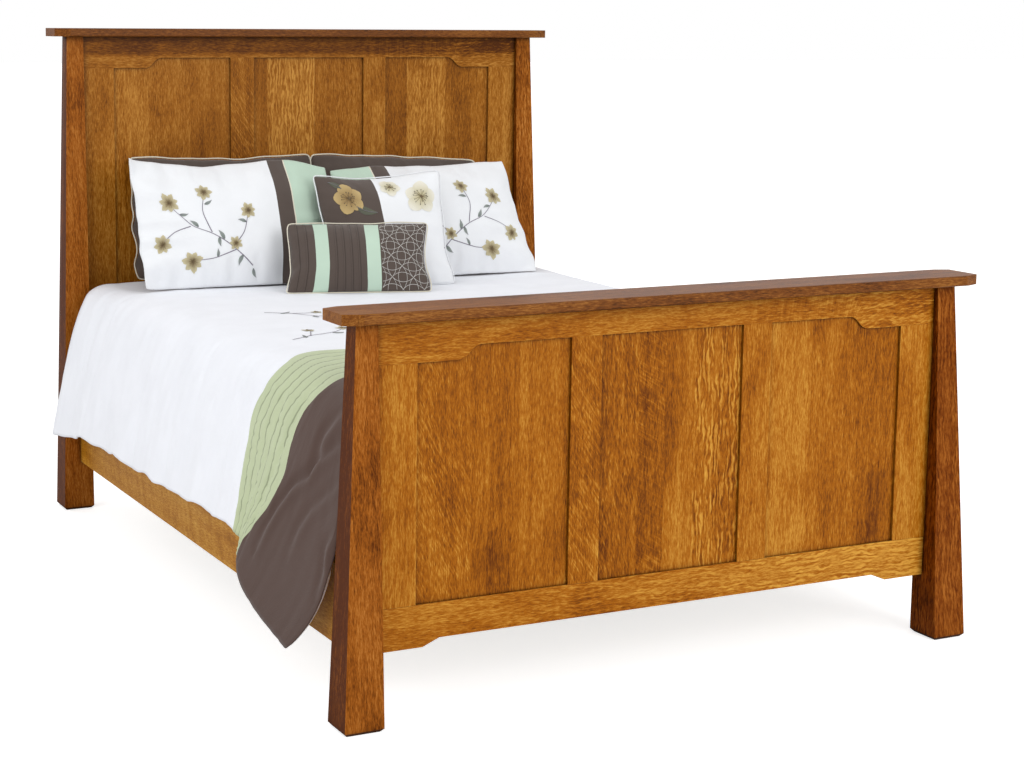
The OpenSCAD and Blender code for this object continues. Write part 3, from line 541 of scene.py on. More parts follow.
# length from the head end, hem's y and z, power, share of HEM_OUT, share of the side folds
PLAIN_KNOTS = 19
knots = []
for k in range(PLAIN_KNOTS + 1):
    run = PLAIN_LEN * k / PLAIN_KNOTS
    dip = max(0, 1 - run / DIP_LEN) ** 1.5
    sag = HEM_SAG * math.sin(math.pi * min(run / PLAIN_LEN + 0.1, 1))
    height = HEM_Z + (HEM_HEAD_Z - HEM_Z) * dip - sag
    knots.append((run, HEAD_END - run, height, 1.5, 1 - 0.14 * k / PLAIN_KNOTS, 1))
for top, foot, drop, power, out in CORNER_ROWS:
    knots.append((TOP_LEN - top * CORNER, MATTRESS_FOOT + foot * CORNER, hem_at(drop), power, out, 0))
for turn, down, foot, drop, power, out in TUCK_ROWS:
    run = TOP_LEN + TURN_R * math.radians(turn) + down * TUCK
    knots.append((run, MATTRESS_FOOT + foot * CORNER, hem_at(drop), power, out, 0))
knots = np.array(knots)
FULL_LEN = knots[-1, 0]

# rows lie closer where the band is pintucked
FINE_ROWS, PLAIN_ROWS = 0.005, 0.009
FINE_FROM, FINE_TO = 1.36, 1.86
run = [0.0]
while run[-1] < FULL_LEN:
    run.append(run[-1] + (FINE_ROWS if FINE_FROM < run[-1] < FINE_TO else PLAIN_ROWS))
run = np.array(run[:-1] + [FULL_LEN])
HEM_SMOOTH = 0.028  # the knots are smoothed over this length
fine = np.linspace(0, FULL_LEN, 800)
hem = [soften(np.interp(fine, knots[:, 0], column), HEM_SMOOTH / fine[1]) for column in knots.T[1:]]
hem_y, hem_z, power, out, folds = (np.interp(run, fine, value)[:, None] for value in hem)

# columns: share of the flat top, turn down the side, share of the drop
TOP_COLS, EDGE_COLS, SIDE_COLS = 56, 8, 46
share = np.concatenate([np.linspace(0, 1, TOP_COLS), np.ones(EDGE_COLS + SIDE_COLS)])
angle = np.concatenate([np.zeros(TOP_COLS), np.linspace(0, math.pi / 2, EDGE_COLS + 1)[1:],
                        np.full(SIDE_COLS, math.pi / 2)])
drop = np.concatenate([np.zeros(TOP_COLS + EDGE_COLS), np.linspace(0, 1, SIDE_COLS + 1)[1:]])
mirror = np.concatenate([-np.ones(len(share) - 1), np.ones(len(share))])[None, :]
share, angle, drop = (np.concatenate([v[:0:-1], v])[None, :] for v in (share, angle, drop))
top_y = np.maximum(HEAD_END - run, EDGE_Y)[:, None]
bend = np.clip((run - TOP_LEN) / TURN_R, 0, math.pi / 2)[:, None]
fall = np.maximum(run - TOP_LEN - TURN_R * math.pi / 2, 0)[:, None]
FOLD_H, FOLD_APART = 0.007, 0.3  # the long folds of the hanging sides
fold = folds * FOLD_H * drop**1.5 * np.sin(2 * math.pi * top_y / FOLD_APART)
skin_x = EDGE_X * share + TURN_R * np.sin(angle) + HEM_OUT * out * drop**0.75 + fold
edge_y = top_y - TURN_R * np.sin(bend)
edge_z = EDGE_Z + TURN_R * np.minimum(np.cos(bend), np.cos(angle)) - fall
skin = np.stack([mirror * skin_x, edge_y + (hem_y - edge_y) * drop**power,
                 edge_z + (hem_z - edge_z) * drop + fold * drop * 0.8], axis=-1)
# the filling rounds the shoulder, so each row is smoothed there over about 35 mm
reach = EDGE_X * share + TURN_R * angle + 0.345 * drop
blend = climb(reach, 0.50, 0.12) * np.clip((1.04 - reach) / 0.12, 0, 1)
skin = skin + (soften(skin, 3.4, axis=1) - skin) * blend[..., None]
# distance from the middle of the bed, over the top and down the side
TOP_HALF = 0.819  # to the end of the turn
SIDE_RATIO = 0.958  # of height to length on the side, which leans out
over = np.where(drop > 0, TOP_HALF + (EDGE_Z - skin[..., 2]) / SIDE_RATIO, EDGE_X * share + TURN_R * angle)
print("comforter skin", skin.shape, "length", round(FULL_LEN, 3))

# %% [markdown]
# The colours change along curved seams. Both borders of the green band are given by their distance
# from the middle of the bed and their place along it, and the flat coordinate across the band runs
# from 0 at its white side to 0.26 m at its brown side. Six pintucks divide it.

# %% Comforter band and folds
BAND = 0.26
TUCKS = 7  # strips, which six pintucks part
WHITE_SIDE = [
    (0, -0.430), (0.50, -0.430), (0.60, -0.415), (0.65, -0.430), (0.69, -0.465), (0.73, -0.505),
    (0.77, -0.518), (0.815, -0.504), (0.86, -0.487), (0.90, -0.482), (0.95, -0.494), (1.03, -0.514),
    (1.09, -0.530), (1.16, -0.538), (1.4, -0.545)]
BROWN_SIDE = [
    (0, -0.700), (0.60, -0.735), (0.69, -0.767), (0.75, -0.800), (0.79, -0.795), (0.83, -0.766),
    (0.87, -0.756), (0.92, -0.752), (0.97, -0.756), (1.005, -0.748), (1.045, -0.726), (1.094, -0.691),
    (1.132, -0.654), (1.162, -0.626), (1.20, -0.590), (1.4, -0.56)]
marks = np.linspace(0, WHITE_SIDE[-1][0], 561)
white_side, brown_side = (np.interp(over, marks, soften(np.interp(marks, *zip(*side)), 6))
                          for side in (WHITE_SIDE, BROWN_SIDE))
across = (white_side - skin[..., 1]) / np.maximum(white_side - brown_side, 0.002) * BAND
across = np.where(skin[..., 1] > white_side, white_side - skin[..., 1], across)


def wander(points, scale, shift):
    """Smooth noise from -1 to 1 at each point, with features of about 1 / scale metres."""
    flat = (points * scale).reshape(-1, 3)
    values = [noise.noise(Vector(p) + Vector((shift, 0, 0))) for p in flat]
    return np.array(values).reshape(points.shape[:-1])


def outward(points):
    """Unit normals of a grid of points whose columns run to +X and rows to -Y, so they point up."""
    rows = np.gradient(points, axis=0)
    columns = np.gradient(points, axis=1)
    normal = np.cross(rows, columns)
    return normal / np.maximum(np.linalg.norm(normal, axis=-1, keepdims=True), 1e-9)


def thin_lines(points, scale, shift, sharp):
    """Lines, 1 at their middle and 0 beside them, that wander where the noise changes its sign."""
    return np.clip(1 - sharp * np.abs(wander(points, scale, shift)), 0, 1)


flat = np.stack([mirror * over, np.broadcast_to(run[:, None], over.shape), np.zeros_like(over)], axis=-1)
hang = climb(over, 0.70, 0.12)  # 0 on the top and 1 on the hanging side
lift = -0.0016 + 0.0022 * (1 - hang) * wander(flat, 5.0, 3.0)
lift += 0.0010 * (1 - hang) * wander(flat * (1, 0.45, 1), 22.0, 9.0)
# the hanging sides: long folds and fine creases that run down
calm = 1 - 0.75 * climb(across, BAND, 0.05)  # the corner is pulled smooth
lift += 0.0065 * calm * hang * drop**0.4 * wander(flat * (0.28, 1, 1), 9.0, 17.0)
lift += 0.0022 * calm * hang * wander(flat * (0.16, 1, 1), 34.0, 23.0)
lift += 0.0012 * calm * hang * wander(flat * (0.3, 1, 1), 75.0, 29.0)
lift -= 0.0042 * calm * hang * thin_lines(flat * (0.12, 1, 1), 7.0, 61.0, 6)
# beside the pillows the filling is pushed up and out
near_head = np.exp(-((run / 0.42) ** 2))[:, None]
lift += 0.016 * climb(over, 0.69, 0.1) * near_head * (1 - 0.5 * drop)
# puffed strips between the pintucks
inside = climb(np.minimum(across, BAND - across), 0, 0.012)
strip = np.abs(np.sin(math.pi * across / (BAND / TUCKS))) ** 0.6
lift += 0.0030 * inside * (strip - 0.6)
# puckers that the pintucks gather, across the strips
lift += 0.0016 * inside * wander(flat * (1, 0.45, 1), 38.0, 41.0)
lift -= 0.0030 * inside * hang * thin_lines(flat * (1, 0.35, 1), 30.0, 43.0, 5)


CREASE_MARKS = 60  # places along a crease


def crease(path, depth, wide):
    """A fold along a path of (y, z) points on the hanging corner: a valley above, a ridge below."""
    path = np.array(path)
    length = np.concatenate([[0], np.cumsum(np.hypot(*np.diff(path, axis=0).T))])
    marks = np.linspace(0, length[-1], CREASE_MARKS)
    y, z = (np.interp(marks, length, column) for column in path.T)
    dy, dz = np.gradient(y), np.gradient(z)
    gap_y, gap_z = skin[..., 1, None] - y, skin[..., 2, None] - z
    nearest = np.argmin(gap_y**2 + gap_z**2, axis=-1)
    gap_y, gap_z = (np.take_along_axis(gap, nearest[..., None], axis=-1)[..., 0] for gap in (gap_y, gap_z))
    side = np.sign(dy[nearest] * gap_z - dz[nearest] * gap_y)
    off = side * np.hypot(gap_y, gap_z) / wide
    fade = np.sin(math.pi * np.clip(nearest / (CREASE_MARKS - 1), 0.03, 0.97)) ** 0.5
    return hang * fade * depth * (np.exp(-((off + 0.8) ** 2)) * 0.8 - np.exp(-((off - 0.8) ** 2)))


# creases that fan out from the post over the brown corner
for path, depth, wide in (
        ([(-0.950, 0.668), (-0.905, 0.612), (-0.890, 0.540)], 0.007, 0.018),
        ([(-1.010, 0.620), (-0.904, 0.552), (-0.879, 0.517), (-0.812, 0.478), (-0.761, 0.422),
          (-0.720, 0.366), (-0.690, 0.310)], 0.009, 0.014),
        ([(-1.030, 0.530), (-0.914, 0.446), (-0.870, 0.395), (-0.840, 0.330)], 0.006, 0.014),
        ([(-1.037, 0.420), (-1.007, 0.385), (-1.010, 0.330), (-0.990, 0.270)], 0.006, 0.014)):
    lift += crease(path, depth, wide)
skin = skin + outward(skin) * lift[..., None]
# the hem of the white part isn't quite even, and the rest of it hardly moves
ripple = 0.008 * wander(flat * (0, 1, 1), 9.0, 31.0) + 0.003 * wander(flat * (0, 1, 1), 22.0, 37.0)
skin[..., 2] += ripple * drop**3 * np.clip(1 - across / 0.05, 0.1, 1)
print("folds up to mm", round(float(np.abs(lift).max()) * 1000, 1))

# %% [markdown]
# The lining follows inside at the filling's thickness, which thins to a sewn edge. Outer skin and
# lining are joined round the rim, so the comforter is one closed mesh.

# %% Comforter mesh
SIDE_LEN = 0.36  # of a hanging side, for the distance from the hem
RIM_T, FILL_T = 0.004, 0.0115  # thickness at the rim, and what the filling adds
THINNEST, CLEAR = 0.003, 0.0012  # the least filling, and the gap between lining and mattress
rows_n, cols_n = skin.shape[:2]
hem_gap = np.minimum((1 - drop) * SIDE_LEN, np.minimum(run, FULL_LEN - run)[:, None])
thick = RIM_T + FILL_T * np.sqrt(np.clip(hem_gap / 0.035, 0, 1))
# where the shoulder is rounded off, the filling is squeezed thinner over the mattress's edge,
# and the skin keeps off its foot corners
past = [np.abs(skin[..., 0]) - MATTRESS_X, MATTRESS_Y - skin[..., 1], skin[..., 2] - EDGE_Z]
past = np.maximum(np.stack(past, axis=-1), 0)
off = np.linalg.norm(past, axis=-1)
room = off - MATTRESS_R - CLEAR
push = np.maximum(THINNEST - room, 0) / off
ones = np.ones(cols_n)
skin = skin + push[..., None] * past * np.stack([mirror[0], -ones, ones], axis=-1)
thick = np.clip(np.minimum(thick, room), THINNEST, None)
inward = -soften(outward(skin), 3)
lining = skin + inward / np.linalg.norm(inward, axis=-1, keepdims=True) * thick[..., None]
points = np.concatenate([skin.reshape(-1, 3), lining.reshape(-1, 3)])
first = (np.arange(rows_n - 1)[:, None] * cols_n + np.arange(cols_n - 1)[None, :]).ravel()
outer_faces = np.stack([first, first + cols_n, first + cols_n + 1, first + 1], axis=-1)
total = rows_n * cols_n
inner_faces = outer_faces[:, ::-1] + total
rim = ([(0, c) for c in range(cols_n - 1)] + [(r, cols_n - 1) for r in range(rows_n - 1)]
       + [(rows_n - 1, c) for c in range(cols_n - 1, 0, -1)] + [(r, 0) for r in range(rows_n - 1, 0, -1)])
rim = np.array([r * cols_n + c for r, c in rim])
rim_faces = np.stack([rim, np.roll(rim, -1), np.roll(rim, -1) + total, rim + total], axis=-1)


def mesh_object(name, points, faces, materials, cloth):
    """A smooth mesh object with its flat cloth coordinates, riding on the bed."""
    mesh = bpy.data.meshes.new(name)
    mesh.from_pydata(points.tolist(), [], faces)
    attribute = mesh.attributes.new("cloth", "FLOAT_VECTOR", "POINT")
    attribute.data.foreach_set("vector", np.asarray(cloth, dtype=np.float32).ravel())
    piece = bpy.data.objects.new(name, mesh)
    scene.collection.objects.link(piece)
    work = bmesh.new()
    work.from_mesh(mesh)
    bmesh.ops.recalc_face_normals(work, faces=work.faces)
    if work.calc_volume(signed=True) < 0:
        bmesh.ops.reverse_faces(work, faces=work.faces)
    work.to_mesh(mesh)
    work.free()
    mesh.shade_smooth()
    for material in materials:
        mesh.materials.append(material)
    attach(piece, "root")
    return piece


def tube(name, loop, material, radius):
    """A round cord along a closed loop of points."""
    curve = bpy.data.curves.new(name, "CURVE")
    curve.dimensions = "3D"
    curve.bevel_depth = radius
    curve.bevel_resolution = 3
    spline = curve.splines.new("POLY")
    spline.points.add(len(loop) - 1)
    spline.points.foreach_set("co", np.concatenate([loop, np.ones((len(loop), 1))], axis=1).ravel())
    spline.use_cyclic_u = True
    curve.materials.append(material)
    cord = bpy.data.objects.new(name, curve)
    scene.collection.objects.link(cord)
    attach(cord, "root")


cloth = np.stack([across, flat[..., 0], flat[..., 1]], axis=-1).reshape(-1, 3)
# painted shade along the folds of the six pintucks
tuck_shade_lines = [(BAND * k / TUCKS, 0.0036) for k in range(1, TUCKS)]
quilt_cotton = cotton("white green and brown cotton", WHITE, [(0.0, GREEN), (BAND, BROWN)],
                      lines=[(0.0, 0.004, WHITE)], pleats=tuck_shade_lines, sheen=0.15, hang=(1, 0.25, 1))
lining_cotton = cotton("white lining cotton", WHITE)
faces = np.concatenate([outer_faces, rim_faces, inner_faces]).tolist()
comforter = mesh_object("bed_comforter", points, faces, [quilt_cotton, lining_cotton],
                        np.concatenate([cloth, cloth]))
for polygon in comforter.data.polygons[-len(inner_faces):]:
    polygon.material_index = 1
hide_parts("comforter")
print("comforter", len(points), "points")

# %% [markdown]
# ## Mattress and box spring
#
# Both are padded blocks in pale ticking, with rounded edges and a tape sewn round the top and bottom
# edges. The comforter covers them, and little of them is seen from below.

# %% Mattress and box spring
ticking = cotton("woven ticking", "#e4e0d6")
tape_cotton = cotton("tape edge cotton", "#c9c2b2")
TAPE_R, TAPE_IN, TAPE_POINTS = 0.004, 0.0035, 48  # radius of the tape, how deep it sits, and its points
for name, node, radius in (("mattress_ticking", "mattress", MATTRESS_R),
                           ("box_spring_ticking", "box_spring", 0.018)):
    low, high = (np.array(corner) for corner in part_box(node))
    middle, half = (low + high) / 2, (high - low) / 2
    work = bmesh.new()
    bmesh.ops.create_cube(work, size=1.0)
    for vertex in work.verts:
        vertex.co = [float(v) for v in middle + (high - low) * np.array(vertex.co)]
    bmesh.ops.bevel(work, geom=work.edges[:], offset=radius, segments=6, profile=0.5, affect="EDGES")
    work.verts.index_update()
    points = np.array([v.co for v in work.verts])
    faces = [[v.index for v in face.verts] for face in work.faces]
    work.free()
    piece = mesh_object(name, points, faces, [ticking], points)
    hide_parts(node)
    turn = np.linspace(0, 2 * math.pi, TAPE_POINTS, endpoint=False)
    way = np.stack([np.cos(turn), np.sin(turn)], axis=1)
    loop = np.sign(way) * (half[:2] - radius) + (radius - TAPE_IN) * way + middle[:2]
    for label, z in (("low", low[2] + radius), ("high", high[2] - radius)):
        tape = np.concatenate([loop, np.full((TAPE_POINTS, 1), z)], axis=1)
        tube(f"{name}_tape_{label}", tape, tape_cotton, TAPE_R)

# %% [markdown]
# ## Pillows
#
# A pillow is two flat panels sewn together round the rim and filled. When it is filled, its middle
# rises, its sides draw in and its seams pucker, and no modelled shape does that as well as cloth. So
# the two panels are sewn flat, blown up by Blender's cloth with pressure and no gravity, and the
# result is kept as a mesh. It is then scaled to the size of its CAD solid, leaned back as it lies,
# and flattened where it rests on the comforter.

# %% Sewing and filling a pillow
SEAT_Z = 0.7180 + 0.0003  # the comforter's height there, and the air under a pillow
HEADBOARD_Y = 1.068  # face of the headboard's frame
SINK = 0.010  # how far a pillow settles, which flattens its lowest part
CLOTH_GRID = 0.011  # spacing of the simulated cloth
FILL_FRAMES = 16
DRAW_IN = 0.022  # how far a side draws in between its corners, as a share
PUCKERS, PUCKER_DEPTH = 26, 0.55  # how close the puckers are along a seam, and how deep
DENTS = 11  # how close the small dents are
noise.seed_set(1)  # so that the pillows' small dents are the same in each run


def sew(width, height, thick):
    """Two panels joined at the rim. Gives points, faces, flat coordinates and the rim's order."""
    steps_w, steps_h = round(width / CLOTH_GRID), round(height / CLOTH_GRID)
    u, v = np.meshgrid(np.linspace(-1, 1, steps_w + 1), np.linspace(-1, 1, steps_h + 1))
    crown = 0.4 * thick * np.maximum((1 - u**2) * (1 - v**2), 0) ** 0.6
    front = np.stack([u * width / 2, -crown, (v + 1) * height / 2], axis=-1)
    edge = (np.abs(u) > 0.9999) | (np.abs(v) > 0.9999)
    number = np.arange(u.size).reshape(u.shape)
    back_number = number.copy()
    back_number[~edge] = number.size + np.arange((~edge).sum())
    points = np.concatenate([front.reshape(-1, 3), front[~edge] * (1, -1, 1)])
    flat = np.stack([(u + 1) * width / 2, (v + 1) * height / 2, np.where(edge, 0.5, 0.0)], axis=-1)
    cloth = np.concatenate([flat.reshape(-1, 3), flat[~edge] + (0, 0, 1)])
    faces = []
    for table, turned in ((number, 1), (back_number, -1)):
        quads = np.stack([table[:-1, :-1], table[:-1, 1:], table[1:, 1:], table[1:, :-1]], axis=-1)
        faces.append(quads.reshape(-1, 4)[:, ::turned])
    rim = np.concatenate([number[0, :-1], number[:-1, -1], number[-1, :0:-1], number[:0:-1, 0]])
    return points, np.concatenate(faces), cloth, rim


def fill(points, faces, rim, thick, top=(), sides=(), roll=0.0):
    """Blow the sewn panels up with cloth pressure, and shape them to a filled outline.

    top lists (place, rise) along the top edge and sides (height, left, right) how far the side edges
    stand out, with places from -1 to 1. roll brings the left seam to the front.
    """
    width, _, height = np.ptp(points, axis=0)
    mesh = bpy.data.meshes.new("sewn")
    mesh.from_pydata(points.tolist(), [], faces.tolist())
    sewn = bpy.data.objects.new("sewn", mesh)
    scene.collection.objects.link(sewn)
    seam = sewn.vertex_groups.new(name="seam")
    seam.add(rim.tolist(), 1.0, "REPLACE")
    cover = sewn.modifiers.new("cover", "CLOTH")
    cover.settings.quality = 6
    cover.settings.mass = 0.25
    cover.settings.tension_stiffness = cover.settings.compression_stiffness = 40
    cover.settings.shear_stiffness = 20
    cover.settings.bending_stiffness = 0.1
    cover.settings.shrink_min = -0.01
    cover.settings.vertex_group_mass = "seam"
    cover.settings.pin_stiffness = 0.05
    cover.settings.use_pressure = True
    cover.settings.uniform_pressure_force = 3
    cover.settings.effector_weights.gravity = 0
    cover.collision_settings.use_collision = False
    cover.point_cache.frame_end = FILL_FRAMES
    for number in range(1, FILL_FRAMES + 1):
        scene.frame_set(number)
    shape = sewn.evaluated_get(bpy.context.evaluated_depsgraph_get())
    filled = np.array([v.co for v in shape.data.vertices])
    bpy.data.objects.remove(sewn)
    scene.frame_set(1)
    u, v = filled[:, 0] / width * 2, filled[:, 2] / height * 2 - 1
    corner = 0.022 * np.minimum(np.abs(u * v), 1) ** 8
    filled[:, 0] *= 1 - DRAW_IN * (1 - np.minimum(v**2, 1)) - corner
    filled[:, 2] = height / 2 * (1 + v * (1 - DRAW_IN * 1.2 * (1 - np.minimum(u**2, 1)) - corner))
    # the lower half is fuller, because the filling sinks
    filled[:, 1] *= thick / np.ptp(filled[:, 1]) * (1.06 - 0.12 * (v + 1) / 2)
    if top:
        filled[:, 2] += np.interp(u, *zip(*top)) * np.clip((v + 1) / 2, 0, 1) ** 1.6
    if sides:
        heights, left, right = zip(*sides)
        filled[:, 0] -= np.interp(v, heights, left) * np.clip(-u, 0, 1) ** 1.5
        filled[:, 0] += np.interp(v, heights, right) * np.clip(u, 0, 1) ** 1.5
    filled[:, 1] -= roll * np.clip((1 - u) / 2, 0, 1) ** 6
    # the seam gathers the cloth, so puckers run in from the rim and fade out
    for place, far in ((0, v), (2, u)):
        pucker = [noise.noise(Vector((p[place] * PUCKERS, width * 90, 3.0 + np.sign(p[1])))) for p in filled]
        filled[:, 1] *= 1 + PUCKER_DEPTH * np.minimum(np.abs(far), 1) ** 3 * np.array(pucker)
    rimward = np.maximum(u**2, v**2)[:, None] ** 3
    dents = [noise.noise_vector(Vector((p[0] * DENTS, p[2] * DENTS, width * 50))) for p in filled]
    dents = np.array(dents)
    return filled + rimward * dents * (0.008, 0.004, 0.006) + dents[:, ::-1] * (0, 0.0035, 0)


def settle(points, x, ahead, lean, turn):
    """Lean the pillow back, turn it, stand it on the comforter and flatten its lowest part."""
    lean, turn = math.radians(lean), math.radians(turn)
    px, py, pz = points.T
    y, z = py * math.cos(lean) + pz * math.sin(lean), pz * math.cos(lean) - py * math.sin(lean)
    rise = z - z.min() - SINK
    soft = 2.2 * SINK
    rise = np.where(rise < soft, (np.maximum(rise, -SINK) + SINK) ** 2 * soft / (soft + SINK) ** 2, rise)
    return np.stack([x + px * math.cos(turn) - y * math.sin(turn),
                     HEADBOARD_Y - ahead + px * math.sin(turn) + y * math.cos(turn), SEAT_Z + rise], axis=-1)


print("pillow tools ready")

# %% Covers of the pillows
STRIPE = 0.055  # brown stripe between the white panel and the green end
PANEL = 0.450  # white panel of a front sham
SHAM_W, SHAM_H, SHAM_T = 0.650, 0.402, 0.148
CUSHION_W, CUSHION_H = 0.425, 0.390
LUMBAR_W, LUMBAR_H = 0.428, 0.234
CUSHION_SEAM = 0.205  # where the cushion's cover turns from brown to white
LATTICE_X = 0.274  # the lattice fills the lumbar pillow from here to its right end
PLEATS = (0.026, 0.051, 0.138, 0.161, 0.184, 0.207)
SEAM_W = 0.004
left_end, right_end = PANEL + STRIPE, SHAM_W - PANEL - STRIPE  # where the green ends meet the stripes
sham_left = cotton("white sham cotton left", SHAM_WHITE, [(PANEL, SHAM_BROWN), (left_end, SHAM_GREEN)],
                   lines=[(left_end, SEAM_W, CREAM)], back=SHAM_BROWN)
sham_right = cotton("white sham cotton right", SHAM_GREEN,
                    [(right_end, SHAM_BROWN), (SHAM_W - PANEL, SHAM_WHITE)],
                    lines=[(right_end, SEAM_W, CREAM)], back=SHAM_BROWN)
brown_cotton = cotton("brown sham cotton", SHAM_BROWN)
cushion_cotton = cotton("brown and white cushion cotton", SHAM_BROWN, [(CUSHION_SEAM, SHAM_WHITE)],
                        back=SHAM_BROWN)
LUMBAR_ZONES = [(0.077, SHAM_GREEN), (0.117, SHAM_BROWN), (0.231, SHAM_GREEN), (LATTICE_X, SHAM_BROWN)]
# painted shadow beside each stitched pleat
lumbar_cotton = cotton("pleated cotton", SHAM_BROWN, LUMBAR_ZONES,
                       pleats=[(at + 0.003, 0.0028) for at in PLEATS])
cream_cord = cotton("cream piping cotton", CREAM)
white_cord = cotton("white piping cotton", SHAM_WHITE)

# how each edge departs from a rectangle, in metres
SAG = [(-1, 0.0), (0, -0.008), (1, -0.030)]
LEFT_TOP = [(-1, 0.016), (-0.7, 0.010), (-0.4, 0.000), (-0.25, 0.000), (0, 0.007), (0.4, 0.020),
            (0.6, 0.016), (1, -0.012)]
LEFT_SIDES = [(-1, 0.0, 0.0), (0, 0.002, 0.0), (1, 0.010, 0.0)]
RIGHT_TOP = [(-1, -0.012), (-0.5, 0.0), (0, -0.002), (0.7, 0.002), (1, 0.006)]
RIGHT_SIDES = [(-1, 0.0, 0.030), (-0.75, 0.0, 0.034), (-0.5, 0.0, 0.019), (-0.3, 0.0, 0.023),
               (-0.05, 0.0, 0.010), (0.2, 0.0, 0.015), (0.45, 0.0, 0.005), (0.7, 0.0, 0.008), (1, 0.0, 0.0)]
SQUARE_TOP = [(-1, 0.0), (-0.5, -0.008), (0, -0.014), (0.5, -0.004), (1, 0.008)]
SQUARE_SIDES = [(-1, -0.030, 0.0), (-0.2, -0.034, 0.0), (0.4, -0.024, 0.008), (1, -0.012, 0.020)]
LUMBAR_SIDES = [(-1, 0.020, 0.002), (-0.3, 0.000, -0.002), (0.3, 0.0, 0.0), (1, 0.002, 0.008)]
BACK_TOP = [(-1, 0.006), (-0.4, 0.0), (0.3, -0.004), (1, 0.004)]
BACK_SIDES = [(-1, -0.018, 0.0), (0, -0.012, 0.0), (1, -0.004, 0.0)]

# node, (width, height, thickness), (x, ahead of the headboard, lean, turn), cover, piping, outline
pillows = [
    ("back_sham_left", (0.604, 0.385, 0.148), (-0.325, 0.098, 5, 0), brown_cotton, cream_cord,
     {"top": BACK_TOP, "sides": BACK_SIDES, "roll": -0.06}),
    ("back_sham_right", (0.605, 0.385, 0.148), (0.276, 0.094, 5, 0), brown_cotton, cream_cord, {"top": SAG}),
    ("front_sham_left", (SHAM_W, SHAM_H, SHAM_T), (-0.360, 0.334, 23, -4), sham_left, None,
     {"top": LEFT_TOP, "sides": LEFT_SIDES, "roll": 0.05}),
    ("front_sham_right", (SHAM_W, SHAM_H, SHAM_T), (0.313, 0.360, 28, 1), sham_right, None,
     {"top": RIGHT_TOP, "sides": RIGHT_SIDES}),
    ("square_cushion", (CUSHION_W, CUSHION_H, 0.118), (0.064, 0.499, 30, -6), cushion_cotton, white_cord,
     {"top": SQUARE_TOP, "sides": SQUARE_SIDES}),
    ("lumbar_pillow", (LUMBAR_W, LUMBAR_H, 0.100), (-0.080, 0.594, 30, -17), lumbar_cotton, cream_cord,
     {"sides": LUMBAR_SIDES}),
]
fronts = {}
for node, (width, height, thick), (x, ahead, lean, turn), cover, cord, outline in pillows:
    name = node.replace("sham", "sham_cover") if "sham" in node else f"{node}_cover"
    points, faces, cloth, rim = sew(width, height + SINK * 0.8, thick)
    placed = settle(fill(points, faces, rim, thick, **outline), x, ahead, lean, turn)
    piece = mesh_object(name, placed, faces.tolist(), [cover], cloth)
    smooth = piece.modifiers.new("smooth", "SUBSURF")
    smooth.levels = smooth.render_levels = 1
    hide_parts(node)
    if cord:  # a covered cord is sewn into the rim seam
        loop = placed[rim]
        for _ in range(2):
            loop = (np.roll(loop, 1, axis=0) + 2 * loop + np.roll(loop, -1, axis=0)) / 4
        tube(name.replace("cover", "piping"), loop, cord, 0.0018 if width < 0.45 else 0.0022)
    columns = len(np.unique(np.round(cloth[:, 0], 5)))
    fronts[name] = placed[: np.count_nonzero(cloth[:, 2] < 0.6)].reshape(-1, columns, 3)
    print(name, "lowest", round(float(placed[:, 2].min()), 4), "size", np.round(np.ptp(placed, axis=0), 3))

# %% [markdown]
# ## Stitching
#
# The shams have sprigs in satin stitch, the square cushion large blossoms, and the lumbar pillow
# pleats and a lattice of overlapping circles. All of it stands a little proud of the cloth, so it is
# made as narrow ribbons that are drawn flat, in metres, and laid on the filled cover. A ribbon has a
# raised middle and is coloured along its length, as the thread changes from a petal's centre to its tip.

# %% Ribbons on cloth
STEM_W = 0.0030  # a stem's width at its foot
STITCH = 2 * math.pi / 0.0012  # radians per metre across a ribbon
RAISED = 0.0007  # how much a ribbon's middle stands above its edges


def thread(name, near, far):
    """Shiny embroidery thread that turns from one colour to the other along the ribbon."""
    material, tree, shader = start_material(name, Roughness=0.5, Sheen_Weight=0.2, Specular_IOR_Level=0.35)
    flat = add(tree, "ShaderNodeAttribute", attribute_name="cloth").outputs["Vector"]
    along, across, _ = add(tree, "ShaderNodeSeparateXYZ", {0: flat}).outputs
    stitch = calc(tree, "SINE", calc(tree, "MULTIPLY", across, STITCH))
    tint = mix(tree, along, colour(near), colour(far))
    tint = mix(tree, 1.0, tint, spread(tree, stitch, low=-1.0, to_low=0.86), "MULTIPLY")
    surface(tree, shader, tint, stitch, 0.3, 0.0003)
    return material


THREADS = {
    "stem": thread("grey violet thread", "#7c7484", "#8f8896"),
    "leaf": thread("grey green thread", "#6f7c74", "#a4aea6"),
    "petal": thread("tan thread", "#7c6840", "#cfc5a0"),
    "heart": thread("umber thread", "#5c4a30", "#7a6440"),
    "gold": thread("gold thread", "#8d7040", "#c2a870"),
    "pale": thread("ecru thread", "#c4ba8e", "#efecdf"),
    "dark": thread("dark brown thread", "#2c2620", "#453a30"),
    "moss": thread("moss thread", "#4b4c3e", "#565a48"),
    "line": thread("pale grey thread", "#cfcdc8", "#cfcdc8"),
    "fold": brown_cotton,
}


